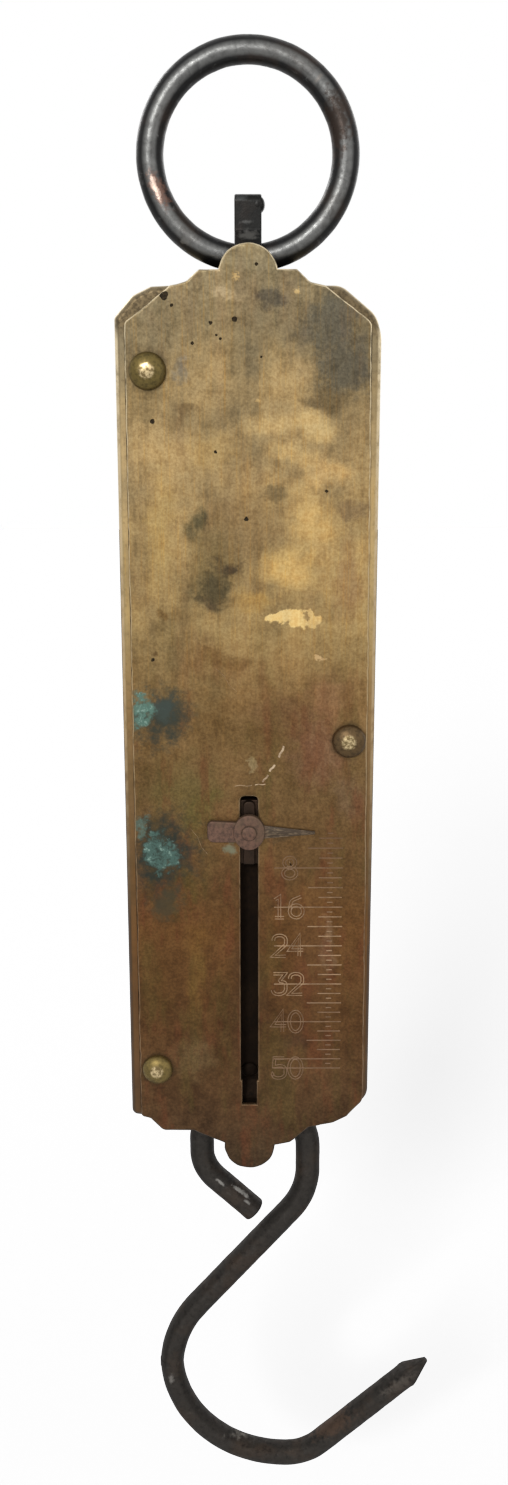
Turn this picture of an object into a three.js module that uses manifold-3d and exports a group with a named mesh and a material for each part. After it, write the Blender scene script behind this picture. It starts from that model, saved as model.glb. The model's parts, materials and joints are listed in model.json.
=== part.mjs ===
// Flat brass-faced spring balance: hang ring, cased extension spring, draw strap and S-hook.
// Millimetres, +Z up, the face looks towards -Y. The origin is the inside top of the hang ring.
import * as THREE from 'three';
import { mergeVertices } from 'three/addons/utils/BufferGeometryUtils.js';
import Module from 'manifold-3d';

const wasm = await Module();
wasm.setup();

// Stock and clearances
const ringWire = 6.35;
const hookRod = 6.35;
const strapWidth = 6.2;
const strapThickness = 1.6;
const seatGap = 0.1;
const pinGap = 0.3;
const eyeGap = 0.5;
const runningGap = 0.4;

// Hang ring
const ringOuter = 50.8;

// Case and face plate. The shoulder is the top of the body, the foot is its bottom.
const bodyWidth = 61;
const bodyHeight = 210.8;
const caseDepth = 19;
const plateThickness = 1.2;
const backThickness = 1.5;
const caseWall = 2.2;
const rimWidth = 2.2;
const rimRound = 1.4;
const topKnobRadius = 6.8;
const topKnobRise = 9.4;
const ledgeRise = 3.6;
const ledgeEnd = 11.1;
const shoulderEnd = 17.7;
const plateChamfer = 8;
const footKnobRadius = 6.6;
const footKnobDrop = 10.9;
const topOpening = 25;
const footOpening = 41;

// Slot in the face plate
const slotWidth = 4.4;
const slotTopDrop = 120;
const slotFootRise = 7.5;
const slotNeckWidth = 3.7;
const slotNeckHeight = 6.8;

// Dome rivets through the face, each set in from one side of the body
const topRivetInset = 7.5;
const topRivetDrop = 18.8;
const topRivetHead = 8.6;
const middleRivetInset = 6.2;
const middleRivetDrop = 106.1;
const middleRivetHead = 8.2;
const bottomRivetInset = 6.9;
const bottomRivetRise = 17.7;
const bottomRivetHead = 7.7;
const faceRivetShank = 3.2;
const faceRivetDome = 2.3;
const faceRivetTail = 5.2;
const spacerWall = 1.2;
const sinkDepth = 1;

// Hanger strap, its pin and the bridge that bears on the pin
const eyeAboveShoulder = 6.2;
const hangerRise = 14;
const hangerPinch = 1;
const hangerPinDrop = 18.6;
const pinDiameter = 3.2;
const pinEndMargin = 3.6;
const bridgeWidth = 36;
const bridgeThickness = 2.2;
const flangeThickness = 1.5;
const bridgeFlange = 5.3;
const bridgeRivetSpacing = 26;
const smallRivet = 2.4;
const smallRivetHead = 4.4;
const smallRivetRise = 0.9;
const smallRivetTail = 4;

// Main spring
const springWire = 2.1;
const springMean = 12.2;
const springCurls = 31;
const springPitch = 2.65;
const springLead = 6;
const eyeWrap = 250;

// Draw strap and hook eye
const hookEyeAboveFoot = 3.8;
const neckLegs = 2.2;
const neckRise = 7.2;
const neckRivetRise = 10.5;

// Lower guide
const guideAboveFoot = 16.4;
const guideWidth = 28;
const guideThickness = 2;
const guideFlange = 9;
const guideRivetSpacing = 18;
const guideForkBack = 5;

// Pointer, its block and rivets
const pointerDrop = 129;
const pointerDiscWidth = 7.8;
const pointerDiscHeight = 9;
const pointerDiscThickness = 1.5;
const pointerArmThickness = 1;
const pointerShortArm = 10.3;
const pointerShortHeight = 5.2;
const pointerLongArm = 16.2;
const pointerLongRoot = 4.4;
const pointerTip = 0.7;
const pointerGap = 0.25;
const blockHeight = 16.6;
const blockAbovePointer = 7.6;
const tongueWidth = 2.9;
const pointerRivetShank = 1.5;
const pointerRivetHead = 4;
const blockRivetDrop = 6;
const spacerDiameter = 5.2;

// S-hook: how far its centre line reaches to each side of the eye and below it, and its bends
const hookEndAcross = 1.25;
const hookEndDrop = 32.65;
const hookLoopLeft = 12.8;
const hookLoopRight = 15.5;
const hookLoopTurnDrop = 19.3;
const hookLoopBend = 11.4;
const hookShoulderBend = 13.6;
const hookWaistDrop = 27.1;
const hookWaistBend = 19;
const hookBowlLeft = 21.8;
const hookBowlRight = 15.6;
const hookBowlStart = 70.3;
const hookBowlDrop = 110.05;
const hookBackBend = 30;
const hookBowlBend = 31.6;
const hookRiseBend = 14.4;
const hookTipAcross = 48.9;
const hookTipDrop = 79.6;
const hookPointLength = 8;
const hookPointSize = 0.5;

// Fineness
const arcStep = THREE.MathUtils.degToRad(15);
const roundSides = 24;
const smallSides = 12;
const smallRadius = 2.7;
const domeSteps = 3;
const rodSides = 12;
const ringSteps = 48;

// Levels and depths worked out from the sizes above
const ringCentre = -(ringOuter / 2 - ringWire);
const ringEye = ringCentre - (ringOuter - ringWire) / 2;
const shoulder = ringEye - eyeAboveShoulder;
const foot = shoulder - bodyHeight;
const face = -caseDepth / 2;
const plateBack = face + plateThickness;
const caseFront = plateBack + seatGap;
const caseBack = caseDepth / 2;
const innerBack = caseBack - backThickness;
const hangerPin = ringEye - hangerPinDrop;
const springPin = hangerPin - 2 * springLead - springCurls * springPitch;
const hookEye = foot + hookEyeAboveFoot;
const pointerLevel = shoulder - pointerDrop;
const hangerLegs = ringWire / 2 + eyeGap + strapThickness / 2;
const drawLegs = hookRod / 2 + eyeGap + strapThickness / 2;
const pinRadius = pinDiameter / 2;
const halfBody = bodyWidth / 2;
const halfPlate = halfBody - rimWidth;
const faceRivets = [
  { name: 'top', x: topRivetInset - halfBody, z: shoulder - topRivetDrop, head: topRivetHead },
  { name: 'middle', x: halfBody - middleRivetInset, z: shoulder - middleRivetDrop, head: middleRivetHead },
  { name: 'bottom', x: bottomRivetInset - halfBody, z: foot + bottomRivetRise, head: bottomRivetHead },
];

// Materials
const iron = { color: 0x2f2e2c, roughness: 0.55, metalness: 0.8 };
const steel = { color: 0x55565a, roughness: 0.45, metalness: 0.9 };
const brass = { color: 0x8a7440, roughness: 0.42, metalness: 0.9 };
const caseBrass = { color: 0x6b5636, roughness: 0.5, metalness: 0.85 };
const rivetBrass = { color: 0xa8924e, roughness: 0.35, metalness: 0.95 };
const copper = { color: 0x7c5244, roughness: 0.6, metalness: 0.7 };

const balance = new THREE.Group();
balance.name = 'spring_balance';

// Joined vertices, no flat triangles, and faces that point out
function weld(geometry) {
  const bare = geometry.clone();
  for (const name of Object.keys(bare.attributes)) {
    if (name !== 'position') bare.deleteAttribute(name);
  }
  const merged = mergeVertices(bare, 1e-5);
  const source = merged.index.array;
  const position = merged.attributes.position;
  const corner = [new THREE.Vector3(), new THREE.Vector3(), new THREE.Vector3()];
  const kept = [];
  let volume = 0;
  for (let i = 0; i < source.length; i += 3) {
    const triangle = [source[i], source[i + 1], source[i + 2]];
    if (new Set(triangle).size < 3) continue;
    kept.push(...triangle);
    triangle.forEach((index, side) => corner[side].fromBufferAttribute(position, index));
    volume += corner[0].dot(corner[1].clone().cross(corner[2]));
  }
  if (volume < 0) kept.reverse();
  merged.setIndex(kept);
  return merged;
}

function toSolid(geometry) {
  const closed = weld(geometry);
  return new wasm.Manifold(new wasm.Mesh({
    numProp: 3,
    vertProperties: new Float32Array(closed.attributes.position.array),
    triVerts: new Uint32Array(closed.index.array),
  }));
}

function toGeometry(solid) {
  const mesh = solid.getMesh();
  const geometry = new THREE.BufferGeometry();
  geometry.setAttribute('position', new THREE.BufferAttribute(new Float32Array(mesh.vertProperties), 3));
  geometry.setIndex(Array.from(mesh.triVerts));
  return geometry;
}

function cut(body, tools) {
  return toGeometry(tools.reduce((solid, tool) => solid.subtract(toSolid(tool)), toSolid(body)));
}

function join(pieces) {
  return toGeometry(pieces.slice(1).reduce((solid, piece) => solid.add(toSolid(piece)), toSolid(pieces[0])));
}

function addPart(name, geometry, look) {
  const mesh = new THREE.Mesh(weld(geometry), new THREE.MeshStandardMaterial(look));
  mesh.name = name;
  balance.add(mesh);
  return mesh;
}

// Corners { x, z, radius } turned into a line whose corners are arcs
function bend(corners, closed = false) {
  const points = [];
  const count = corners.length;
  corners.forEach((corner, i) => {
    const here = new THREE.Vector2(corner.x, corner.z);
    if (!corner.radius || (!closed && (i === 0 || i === count - 1))) {
      points.push(here);
      return;
    }
    const before = corners[(i + count - 1) % count];
    const after = corners[(i + 1) % count];
    const back = new THREE.Vector2(before.x, before.z).sub(here).normalize();
    const on = new THREE.Vector2(after.x, after.z).sub(here).normalize();
    const between = Math.acos(THREE.MathUtils.clamp(back.dot(on), -1, 1));
    const reach = corner.radius / Math.tan(between / 2);
    const start = here.clone().addScaledVector(back, reach);
    const centre = here.clone().addScaledVector(back.clone().add(on).normalize(), corner.radius / Math.sin(between / 2));
    const sweep = (Math.PI - between) * Math.sign(back.cross(on));
    const steps = Math.max(1, Math.ceil(Math.abs(sweep) / arcStep));
    for (let step = 0; step <= steps; step += 1) {
      points.push(start.clone().rotateAround(centre, -sweep * step / steps));
    }
  });
  return points.filter((point, i) => i === 0 || point.distanceTo(points[i - 1]) > 1e-3);
}

// A shape in X and Z, extruded from front to back
function slabY(shape, front, back) {
  const geometry = new THREE.ExtrudeGeometry(shape, { depth: back - front, bevelEnabled: false });
  const basis = new THREE.Matrix4().makeBasis(
    new THREE.Vector3(1, 0, 0),
    new THREE.Vector3(0, 0, 1),
    new THREE.Vector3(0, -1, 0),
  );
  return geometry.applyMatrix4(basis).translate(0, back, 0);
}

// A shape in Y and Z, extruded across the balance and centred on it
function slabX(shape, width) {
  const geometry = new THREE.ExtrudeGeometry(shape, { depth: width, bevelEnabled: false });
  const basis = new THREE.Matrix4().makeBasis(
    new THREE.Vector3(0, 1, 0),
    new THREE.Vector3(0, 0, 1),
    new THREE.Vector3(1, 0, 0),
  );
  return geometry.applyMatrix4(basis).translate(-width / 2, 0, 0);
}

function block(low, high) {
  const size = high.map((value, i) => value - low[i]);
  const centre = high.map((value, i) => (value + low[i]) / 2);
  return new THREE.BoxGeometry(...size).translate(...centre);
}

function sidesFor(radius) {
  return radius > smallRadius ? roundSides : smallSides;
}

function rod(radius, x, z, front, back) {
  const sides = sidesFor(radius);
  return new THREE.CylinderGeometry(radius, radius, back - front, sides).translate(x, (front + back) / 2, z);
}

// A round piece about a Y axis from pairs of radius and depth
function turned(profile, x, z) {
  const points = profile.map(([radius, depth]) => new THREE.Vector2(radius, depth));
  const widest = Math.max(...profile.map(([radius]) => radius));
  return new THREE.LatheGeometry(points, sidesFor(widest)).translate(x, 0, z);
}

// Half an ellipse from the rim of a head to its crown
function dome(radius, base, crown) {
  return Array.from({ length: domeSteps }, (_, i) => {
    const angle = Math.PI / 2 * (i + 1) / domeSteps;
    return [i + 1 === domeSteps ? 0 : radius * Math.cos(angle), base + (crown - base) * Math.sin(angle)];
  });
}

// A rivet along Y with a domed head at the front and a tail spread flush into the case's back
function flushRivet({ x, z, shank, frontHead, frontRise, tail, front }) {
  const back = caseBack - seatGap;
  return turned([
    ...dome(frontHead / 2, front, front - frontRise).reverse(),
    [frontHead / 2, front],
    [shank / 2, front],
    [shank / 2, back - sinkDepth],
    [tail / 2, back],
    [0, back],
  ], x, z);
}

// The hole for a flush tail through the case's back
function sunkHole({ x, z, shank, tail }) {
  const bore = shank / 2 + pinGap;
  const mouth = tail / 2 + pinGap;
  return turned([
    [0, innerBack - 1],
    [bore, innerBack - 1],
    [bore, caseBack - sinkDepth],
    [mouth, caseBack],
    [mouth, caseBack + 1],
    [0, caseBack + 1],
  ], x, z);
}

// A rivet along Y with a domed head at the front and one at the back
function rivet({ x, z, shank, frontHead, frontRise, backHead, backRise, front, back }) {
  const frontDome = dome(frontHead / 2, front, front - frontRise).reverse();
  return turned([
    ...frontDome,
    [frontHead / 2, front],
    [shank / 2, front],
    [shank / 2, back],
    [backHead / 2, back],
    ...dome(backHead / 2, back, back + backRise),
  ], x, z);
}

// A round rod along points in space, with its own radius at each point
function sweep(points, radii, sides) {
  const count = points.length;
  const heading = points.map((_, i) => points[Math.min(i + 1, count - 1)].clone()
    .sub(points[Math.max(i - 1, 0)]).normalize());
  const out = new THREE.Vector3(0, 1, 0).addScaledVector(heading[0], -heading[0].y).normalize();
  const vertices = [];
  heading.forEach((along, i) => {
    if (i > 0) out.applyQuaternion(new THREE.Quaternion().setFromUnitVectors(heading[i - 1], along));
    const side = along.clone().cross(out);
    for (let s = 0; s < sides; s += 1) {
      const angle = Math.PI * 2 * s / sides;
      const place = points[i].clone()
        .addScaledVector(out, Math.cos(angle) * radii[i])
        .addScaledVector(side, Math.sin(angle) * radii[i]);
      vertices.push(place.x, place.y, place.z);
    }
  });
  const index = [];
  for (let i = 0; i + 1 < count; i += 1) {
    for (let s = 0; s < sides; s += 1) {
      const a = i * sides + s;
      const b = i * sides + (s + 1) % sides;
      index.push(a, b, a + sides, b, b + sides, a + sides);
    }
  }
  for (let s = 1; s + 1 < sides; s += 1) {
    const last = (count - 1) * sides;
    index.push(0, s + 1, s, last, last + s, last + s + 1);
  }
  const geometry = new THREE.BufferGeometry();
  geometry.setAttribute('position', new THREE.Float32BufferAttribute(vertices, 3));
  geometry.setIndex(index);
  return geometry;
}

// The band that a strap of even thickness fills along its centre line
function strapShape(line) {
  const sides = [1, -1].map((sign) => line.map((point, i) => {
    const before = line[Math.max(i - 1, 0)];
    const after = line[Math.min(i + 1, line.length - 1)];
    const along = after.clone().sub(before).normalize();
    return point.clone().add(new THREE.Vector2(-along.y, along.x).multiplyScalar(sign * strapThickness / 2));
  }));
  return new THREE.Shape([...sides[0], ...sides[1].reverse()]);
}

// The round of a knob, clockwise from one angle to another
function knobArc(radius, centre, from, to) {
  const steps = Math.ceil((from - to) / arcStep);
  return Array.from({ length: steps + 1 }, (_, i) => {
    const angle = from + (to - from) * i / steps;
    return { x: radius * Math.cos(angle), z: centre + radius * Math.sin(angle), radius: 0 };
  });
}

// Outlines, drawn clockwise from the left of the top knob
function topOutline(leftCorner, rightCorner) {
  const ledge = shoulder + ledgeRise;
  const centre = shoulder + topKnobRise - topKnobRadius;
  const meeting = Math.asin((ledge - centre) / topKnobRadius);
  const side = (sign) => [
    { x: sign * shoulderEnd, z: shoulder, radius: 0.8 },
    { x: sign * (shoulderEnd - 3.6), z: shoulder + 0.8, radius: 2 },
    { x: sign * ledgeEnd, z: ledge, radius: 0.8 },
  ];
  return [
    ...leftCorner,
    ...side(-1),
    ...knobArc(topKnobRadius, centre, Math.PI - meeting, meeting),
    ...side(1).reverse(),
    ...rightCorner,
  ];
}

function footOutline(half) {
  return [
    { x: half, z: foot + 9.5, radius: 1.5 },
    { x: half - 3.5, z: foot + 6.3, radius: 1.5 },
    { x: halfBody - 5.6, z: foot + 4, radius: 1 },
    { x: halfBody - 9, z: foot + 2.3, radius: 1.5 },
    { x: 15.4, z: foot + 0.8, radius: 1.5 },
    { x: 10.6, z: foot - 3.5, radius: 1 },
    ...knobArc(footKnobRadius, foot - footKnobDrop + footKnobRadius, 0, -Math.PI),
    { x: -footKnobRadius, z: foot - 3.6, radius: 0.3 },
    { x: -14.6, z: foot, radius: 2 },
    { x: 8 - halfBody, z: foot, radius: 2 },
    { x: 4.7 - halfBody, z: foot + 3.4, radius: 0.8 },
    { x: -half, z: foot + 4, radius: 1.5 },
  ];
}

const caseOutline = [
  ...topOutline(
    [
      { x: -halfBody, z: shoulder - 8, radius: 2 },
      { x: 8.2 - halfBody, z: shoulder - 0.2, radius: 1.5 },
    ],
    [
      { x: halfBody - 9.3, z: shoulder, radius: 2 },
      { x: halfBody - 1.2, z: shoulder - 6.6, radius: 2.5 },
      { x: halfBody, z: shoulder - 11, radius: 3 },
    ],
  ),
  ...footOutline(halfBody),
];
const plateOutline = [
  ...topOutline(
    [{ x: -halfPlate, z: shoulder - plateChamfer, radius: 2 }],
    [{ x: halfPlate, z: shoulder - plateChamfer, radius: 2 }],
  ),
  ...footOutline(halfPlate),
];

// Hang ring
function makeRing() {
  const centreRadius = (ringOuter - ringWire) / 2;
  return new THREE.TorusGeometry(centreRadius, ringWire / 2, rodSides, ringSteps)
    .rotateX(Math.PI / 2)
    .translate(0, 0, ringCentre);
}

// Face plate with its slot and rivet holes
function makePlate() {
  const top = shoulder - slotTopDrop;
  const bottom = foot + slotFootRise;
  const slot = bend([
    { x: -slotWidth / 2, z: top, radius: 1.2 },
    { x: slotWidth / 2, z: top, radius: 1.2 },
    { x: slotWidth / 2, z: bottom + slotNeckHeight, radius: 0 },
    { x: slotNeckWidth / 2, z: bottom + slotNeckHeight, radius: 0 },
    { x: slotNeckWidth / 2, z: bottom, radius: 0 },
    { x: -slotNeckWidth / 2, z: bottom, radius: 0 },
    { x: -slotNeckWidth / 2, z: bottom + slotNeckHeight, radius: 0 },
    { x: -slotWidth / 2, z: bottom + slotNeckHeight, radius: 0 },
  ], true);
  const holes = faceRivets.map(({ x, z }) => rod(faceRivetShank / 2 + pinGap, x, z, face - 1, plateBack + 1));
  return cut(
    slabY(new THREE.Shape(bend(plateOutline, true)), face, plateBack),
    [slabY(new THREE.Shape(slot), face - 1, plateBack + 1), ...holes],
  );
}

// Case: a pan with a rounded rim, open at the front, at the top for the hanger and at the foot for the hook
function makeCase() {
  const shell = slabY(new THREE.Shape(bend(caseOutline, true)), caseFront, caseBack);
  const rounds = [-1, 1].flatMap((side) => [edgeRound(side, caseFront, 1), edgeRound(side, caseBack, -1)]);
  const inside = halfBody - caseWall;
  const cavity = new THREE.Shape(bend([
    { x: -inside, z: shoulder - 9 - caseWall, radius: 1.5 },
    { x: -inside + 7.5, z: shoulder - caseWall, radius: 1.5 },
    { x: inside - 8, z: shoulder - caseWall, radius: 1.5 },
    { x: inside, z: shoulder - 10 - caseWall, radius: 1.5 },
    { x: inside, z: foot + 9 + caseWall, radius: 1.5 },
    { x: inside - 9, z: foot + 4 + caseWall, radius: 1.5 },
    { x: -inside + 7, z: foot + 2 + caseWall, radius: 1.5 },
    { x: -inside, z: foot + 5 + caseWall, radius: 1.5 },
  ], true));
  const front = caseFront - 1;
  const topCut = block(
    [-topOpening / 2, front, shoulder - 2 * caseWall],
    [topOpening / 2, innerBack, shoulder + 2 * topKnobRise],
  );
  const footCut = block(
    [-footOpening / 2, front, foot - 2 * footKnobDrop],
    [footOpening / 2, innerBack, foot + 5 * caseWall],
  );
  const faceHoles = faceRivets.map(({ x, z }) => sunkHole({ x, z, shank: faceRivetShank, tail: faceRivetTail }));
  const smallHoles = [...bridgeRivetPlaces, ...guideRivetPlaces].map(({ x, z }) => (
    sunkHole({ x, z, shank: smallRivet, tail: smallRivetTail })));
  const cavityTool = slabY(cavity, front, innerBack);
  return cut(shell, [...rounds, cavityTool, topCut, footCut, ...faceHoles, ...smallHoles]);
}

// What is taken off a long edge of the case to round it
function edgeRound(side, depth, inward) {
  const edge = side * halfBody;
  const turn = edge - side * rimRound;
  const steps = 4;
  const arc = Array.from({ length: steps + 1 }, (_, i) => {
    const angle = Math.PI / 2 * i / steps;
    return new THREE.Vector2(
      turn + side * rimRound * Math.sin(angle),
      depth + inward * rimRound * (1 - Math.cos(angle)),
    );
  });
  const shape = new THREE.Shape([
    ...arc,
    new THREE.Vector2(edge + side, depth + inward * rimRound),
    new THREE.Vector2(edge + side, depth - inward),
    new THREE.Vector2(turn, depth - inward),
  ]);
  const margin = 2 * topKnobRise;
  return new THREE.ExtrudeGeometry(shape, { depth: bodyHeight + 2 * margin, bevelEnabled: false })
    .translate(0, 0, foot - margin);
}

// Hanger: one strap folded over, pinched at the top and closed round the ring's wire
function makeHanger() {
  const top = ringEye + hangerRise;
  const end = hangerPin - pinEndMargin;
  const line = bend([
    { x: hangerLegs, z: end, radius: 0 },
    { x: hangerLegs, z: ringEye + 1.9, radius: 3 },
    { x: hangerPinch, z: ringEye + 5.7, radius: 2 },
    { x: hangerPinch, z: top - strapThickness / 2, radius: hangerPinch - 0.02 },
    { x: -hangerPinch, z: top - strapThickness / 2, radius: hangerPinch - 0.02 },
    { x: -hangerPinch, z: ringEye + 5.7, radius: 2 },
    { x: -hangerLegs, z: ringEye + 1.9, radius: 3 },
    { x: -hangerLegs, z: end, radius: 0 },
  ]);
  const reach = hangerLegs + strapThickness;
  return cut(slabX(strapShape(line), strapWidth), [rod(pinRadius + pinGap, 0, hangerPin, -reach, reach)]);
}

// An angle bracket riveted to the back wall: the shelf crosses the case, the flange lies on the wall
function makeAngle(width, shelfLow, thickness, flange) {
  const back = innerBack - seatGap;
  const front = plateBack + pinGap;
  const corners = [
    [front, shelfLow],
    [back, shelfLow],
    [back, shelfLow + thickness + flange],
    [back - flangeThickness, shelfLow + thickness + flange],
    [back - flangeThickness, shelfLow + thickness],
    [front, shelfLow + thickness],
  ];
  return slabX(new THREE.Shape(corners.map(([y, z]) => new THREE.Vector2(y, z))), width);
}

function bracketRivet({ x, z }) {
  return flushRivet({
    x,
    z,
    shank: smallRivet,
    frontHead: smallRivetHead,
    frontRise: smallRivetRise,
    tail: smallRivetTail,
    front: innerBack - 2 * seatGap - flangeThickness,
  });
}

const bridgeLow = hangerPin + pinRadius + pinGap;
const bridgeRivetLevel = bridgeLow + bridgeThickness + bridgeFlange / 2;
const bridgeRivetPlaces = [
  { name: 'bridge_rivet_left', x: -bridgeRivetSpacing / 2, z: bridgeRivetLevel },
  { name: 'bridge_rivet_right', x: bridgeRivetSpacing / 2, z: bridgeRivetLevel },
];
const guideLow = foot + guideAboveFoot - guideThickness / 2;
const guideRivetLevel = guideLow + guideThickness + guideFlange / 2;
const guideRivetPlaces = [
  { name: 'guide_rivet_left', x: -guideRivetSpacing / 2, z: guideRivetLevel },
  { name: 'guide_rivet_right', x: guideRivetSpacing / 2, z: guideRivetLevel },
];

function bracketHoles(places) {
  const front = innerBack - 2 * flangeThickness;
  return places.map(({ x, z }) => rod(smallRivet / 2 + pinGap, x, z, front, caseBack));
}

function makeBridge() {
  const halfWindow = strapWidth / 2 + runningGap;
  const deepWindow = hangerLegs + strapThickness / 2 + pinGap;
  const window = block(
    [-halfWindow, -deepWindow, bridgeLow - 1],
    [halfWindow, deepWindow, bridgeLow + bridgeThickness + 1],
  );
  return cut(
    makeAngle(bridgeWidth, bridgeLow, bridgeThickness, bridgeFlange),
    [window, ...bracketHoles(bridgeRivetPlaces)],
  );
}

function makeGuide() {
  const halfFork = strapWidth / 2 + runningGap;
  const fork = block(
    [-halfFork, face, guideLow - 1],
    [halfFork, guideForkBack, guideLow + guideThickness + 1],
  );
  return cut(
    makeAngle(guideWidth, guideLow, guideThickness, guideFlange),
    [fork, ...bracketHoles(guideRivetPlaces)],
  );
}

// Main spring: eye, curls and eye as one wire
function springLine() {
  const radius = springMean / 2;
  const eyeRadius = pinRadius + pinGap + springWire / 2;
  const low = springPin + springLead;
  const high = low + springCurls * springPitch;
  const eyeSteps = 10;
  const curlSteps = 8;
  const wrap = THREE.MathUtils.degToRad(eyeWrap);
  const onCurl = (angle, z) => new THREE.Vector3(radius * Math.cos(angle), radius * Math.sin(angle), z);
  const lead = (from, sign) => [
    new THREE.Vector3(eyeRadius + 0.5, sign * 0.3, from - sign * springLead * 0.62),
    new THREE.Vector3(eyeRadius + 1.9, sign * 1, from - sign * springLead * 0.3),
    onCurl(sign * -0.42, from - sign * 0.35),
  ];
  const points = [];
  for (let step = 0; step <= eyeSteps; step += 1) {
    const angle = -wrap * (1 - step / eyeSteps);
    points.push(new THREE.Vector3(eyeRadius * Math.cos(angle), 0, springPin + eyeRadius * Math.sin(angle)));
  }
  points.push(...lead(low, 1).map((point) => point.setY(-Math.abs(point.y))));
  for (let step = 0; step <= springCurls * curlSteps; step += 1) {
    const angle = Math.PI * 2 * step / curlSteps;
    points.push(onCurl(angle, low + springPitch * step / curlSteps));
  }
  points.push(...lead(high, -1).map((point) => point.setY(Math.abs(point.y))).reverse());
  for (let step = 0; step <= eyeSteps; step += 1) {
    const angle = wrap * step / eyeSteps;
    points.push(new THREE.Vector3(eyeRadius * Math.cos(angle), 0, hangerPin + eyeRadius * Math.sin(angle)));
  }
  return points;
}

// Least gap of a wire to itself, measured on its points
function leastGap(points, wire) {
  let least = Infinity;
  const along = [0];
  points.forEach((point, i) => {
    if (i > 0) along.push(along[i - 1] + point.distanceTo(points[i - 1]));
  });
  points.forEach((point, i) => {
    for (let j = i + 1; j < points.length; j += 1) {
      if (along[j] - along[i] > wire * 4) least = Math.min(least, point.distanceTo(points[j]) - wire);
    }
  });
  return least;
}

// Draw strap: folded round the hook's rod, its legs drawn together above it
function makeDrawStrap() {
  const top = springPin + pinEndMargin;
  const line = bend([
    { x: neckLegs, z: top, radius: 0 },
    { x: neckLegs, z: hookEye + neckRise, radius: 2 },
    { x: drawLegs, z: hookEye + neckRise / 2, radius: 2 },
    { x: drawLegs, z: hookEye - drawLegs, radius: drawLegs - 0.02 },
    { x: -drawLegs, z: hookEye - drawLegs, radius: drawLegs - 0.02 },
    { x: -drawLegs, z: hookEye + neckRise / 2, radius: 2 },
    { x: -neckLegs, z: hookEye + neckRise, radius: 2 },
    { x: -neckLegs, z: top, radius: 0 },
  ]);
  const reach = drawLegs + strapThickness;
  return cut(slabX(strapShape(line), strapWidth), [
    rod(pinRadius + pinGap, 0, springPin, -reach, reach),
    rod(pointerRivetShank / 2 + pinGap, 0, pointerLevel, -reach, reach),
    rod(pointerRivetShank / 2 + pinGap, 0, pointerLevel - blockRivetDrop, -reach, reach),
    rod(smallRivet / 2 + pinGap, 0, hookEye + neckRivetRise, -reach, reach),
  ]);
}

const legOuter = neckLegs + strapThickness / 2;
const legInner = neckLegs - strapThickness / 2;

function strapSpacer(z, shank) {
  const half = legInner - seatGap;
  const bore = shank / 2 + pinGap;
  return cut(rod(spacerDiameter / 2, 0, z, -half, half), [rod(bore, 0, z, -2 * half, 2 * half)]);
}

// Pointer block: a body behind the plate and a tongue in the slot
function makePointerBlock() {
  const top = pointerLevel + blockAbovePointer;
  const bodyBack = -legOuter - seatGap;
  const tongueFront = face + pinGap;
  const bodyFront = plateBack + runningGap;
  const body = block([-strapWidth / 2, bodyFront, top - blockHeight], [strapWidth / 2, bodyBack, top]);
  const tongue = block(
    [-tongueWidth / 2, tongueFront, top - blockHeight],
    [tongueWidth / 2, (bodyFront + bodyBack) / 2, top],
  );
  const bore = pointerRivetShank / 2 + pinGap / 2;
  return cut(join([body, tongue]), [
    rod(bore, 0, pointerLevel, face - 1, 0),
    rod(bore, 0, pointerLevel - blockRivetDrop, face - 1, 0),
    rod(pointerRivetShank / 2 + 1, 0, pointerLevel - blockRivetDrop, face - 1, bodyFront + 2),
  ]);
}

// Pointer: disc with a short round arm and a long tapering arm
const pointerBack = face - pointerGap;
const pointerFront = pointerBack - pointerDiscThickness;
function makePointer() {
  const disc = rod(1, 0, 0, pointerFront, pointerBack)
    .scale(pointerDiscWidth / 2, 1, pointerDiscHeight / 2)
    .translate(0, 0, pointerLevel);
  const armFront = pointerBack - pointerArmThickness;
  const shortHalf = pointerShortHeight / 2;
  const shortArm = new THREE.Shape(bend([
    { x: 0, z: pointerLevel - shortHalf, radius: 0 },
    { x: -pointerShortArm, z: pointerLevel - shortHalf, radius: shortHalf - 0.4 },
    { x: -pointerShortArm, z: pointerLevel + shortHalf + 0.6, radius: shortHalf - 0.4 },
    { x: 0, z: pointerLevel + shortHalf, radius: 0 },
  ], true));
  const longArm = new THREE.Shape([
    [0, pointerLongRoot / 2],
    [pointerDiscWidth / 2 + 3, pointerLongRoot / 2 - 0.4],
    [pointerLongArm, pointerTip / 2 - 0.3],
    [pointerLongArm, -pointerTip / 2 - 0.3],
    [pointerDiscWidth / 2 + 3, -pointerLongRoot / 2 + 0.6],
    [0, -pointerLongRoot / 2],
  ].map(([x, z]) => new THREE.Vector2(x, pointerLevel + z)));
  return cut(
    join([disc, slabY(shortArm, armFront, pointerBack), slabY(longArm, armFront, pointerBack)]),
    [rod(pointerRivetShank / 2 + pinGap / 2, 0, pointerLevel, pointerFront - 1, pointerBack + 1)],
  );
}

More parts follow.
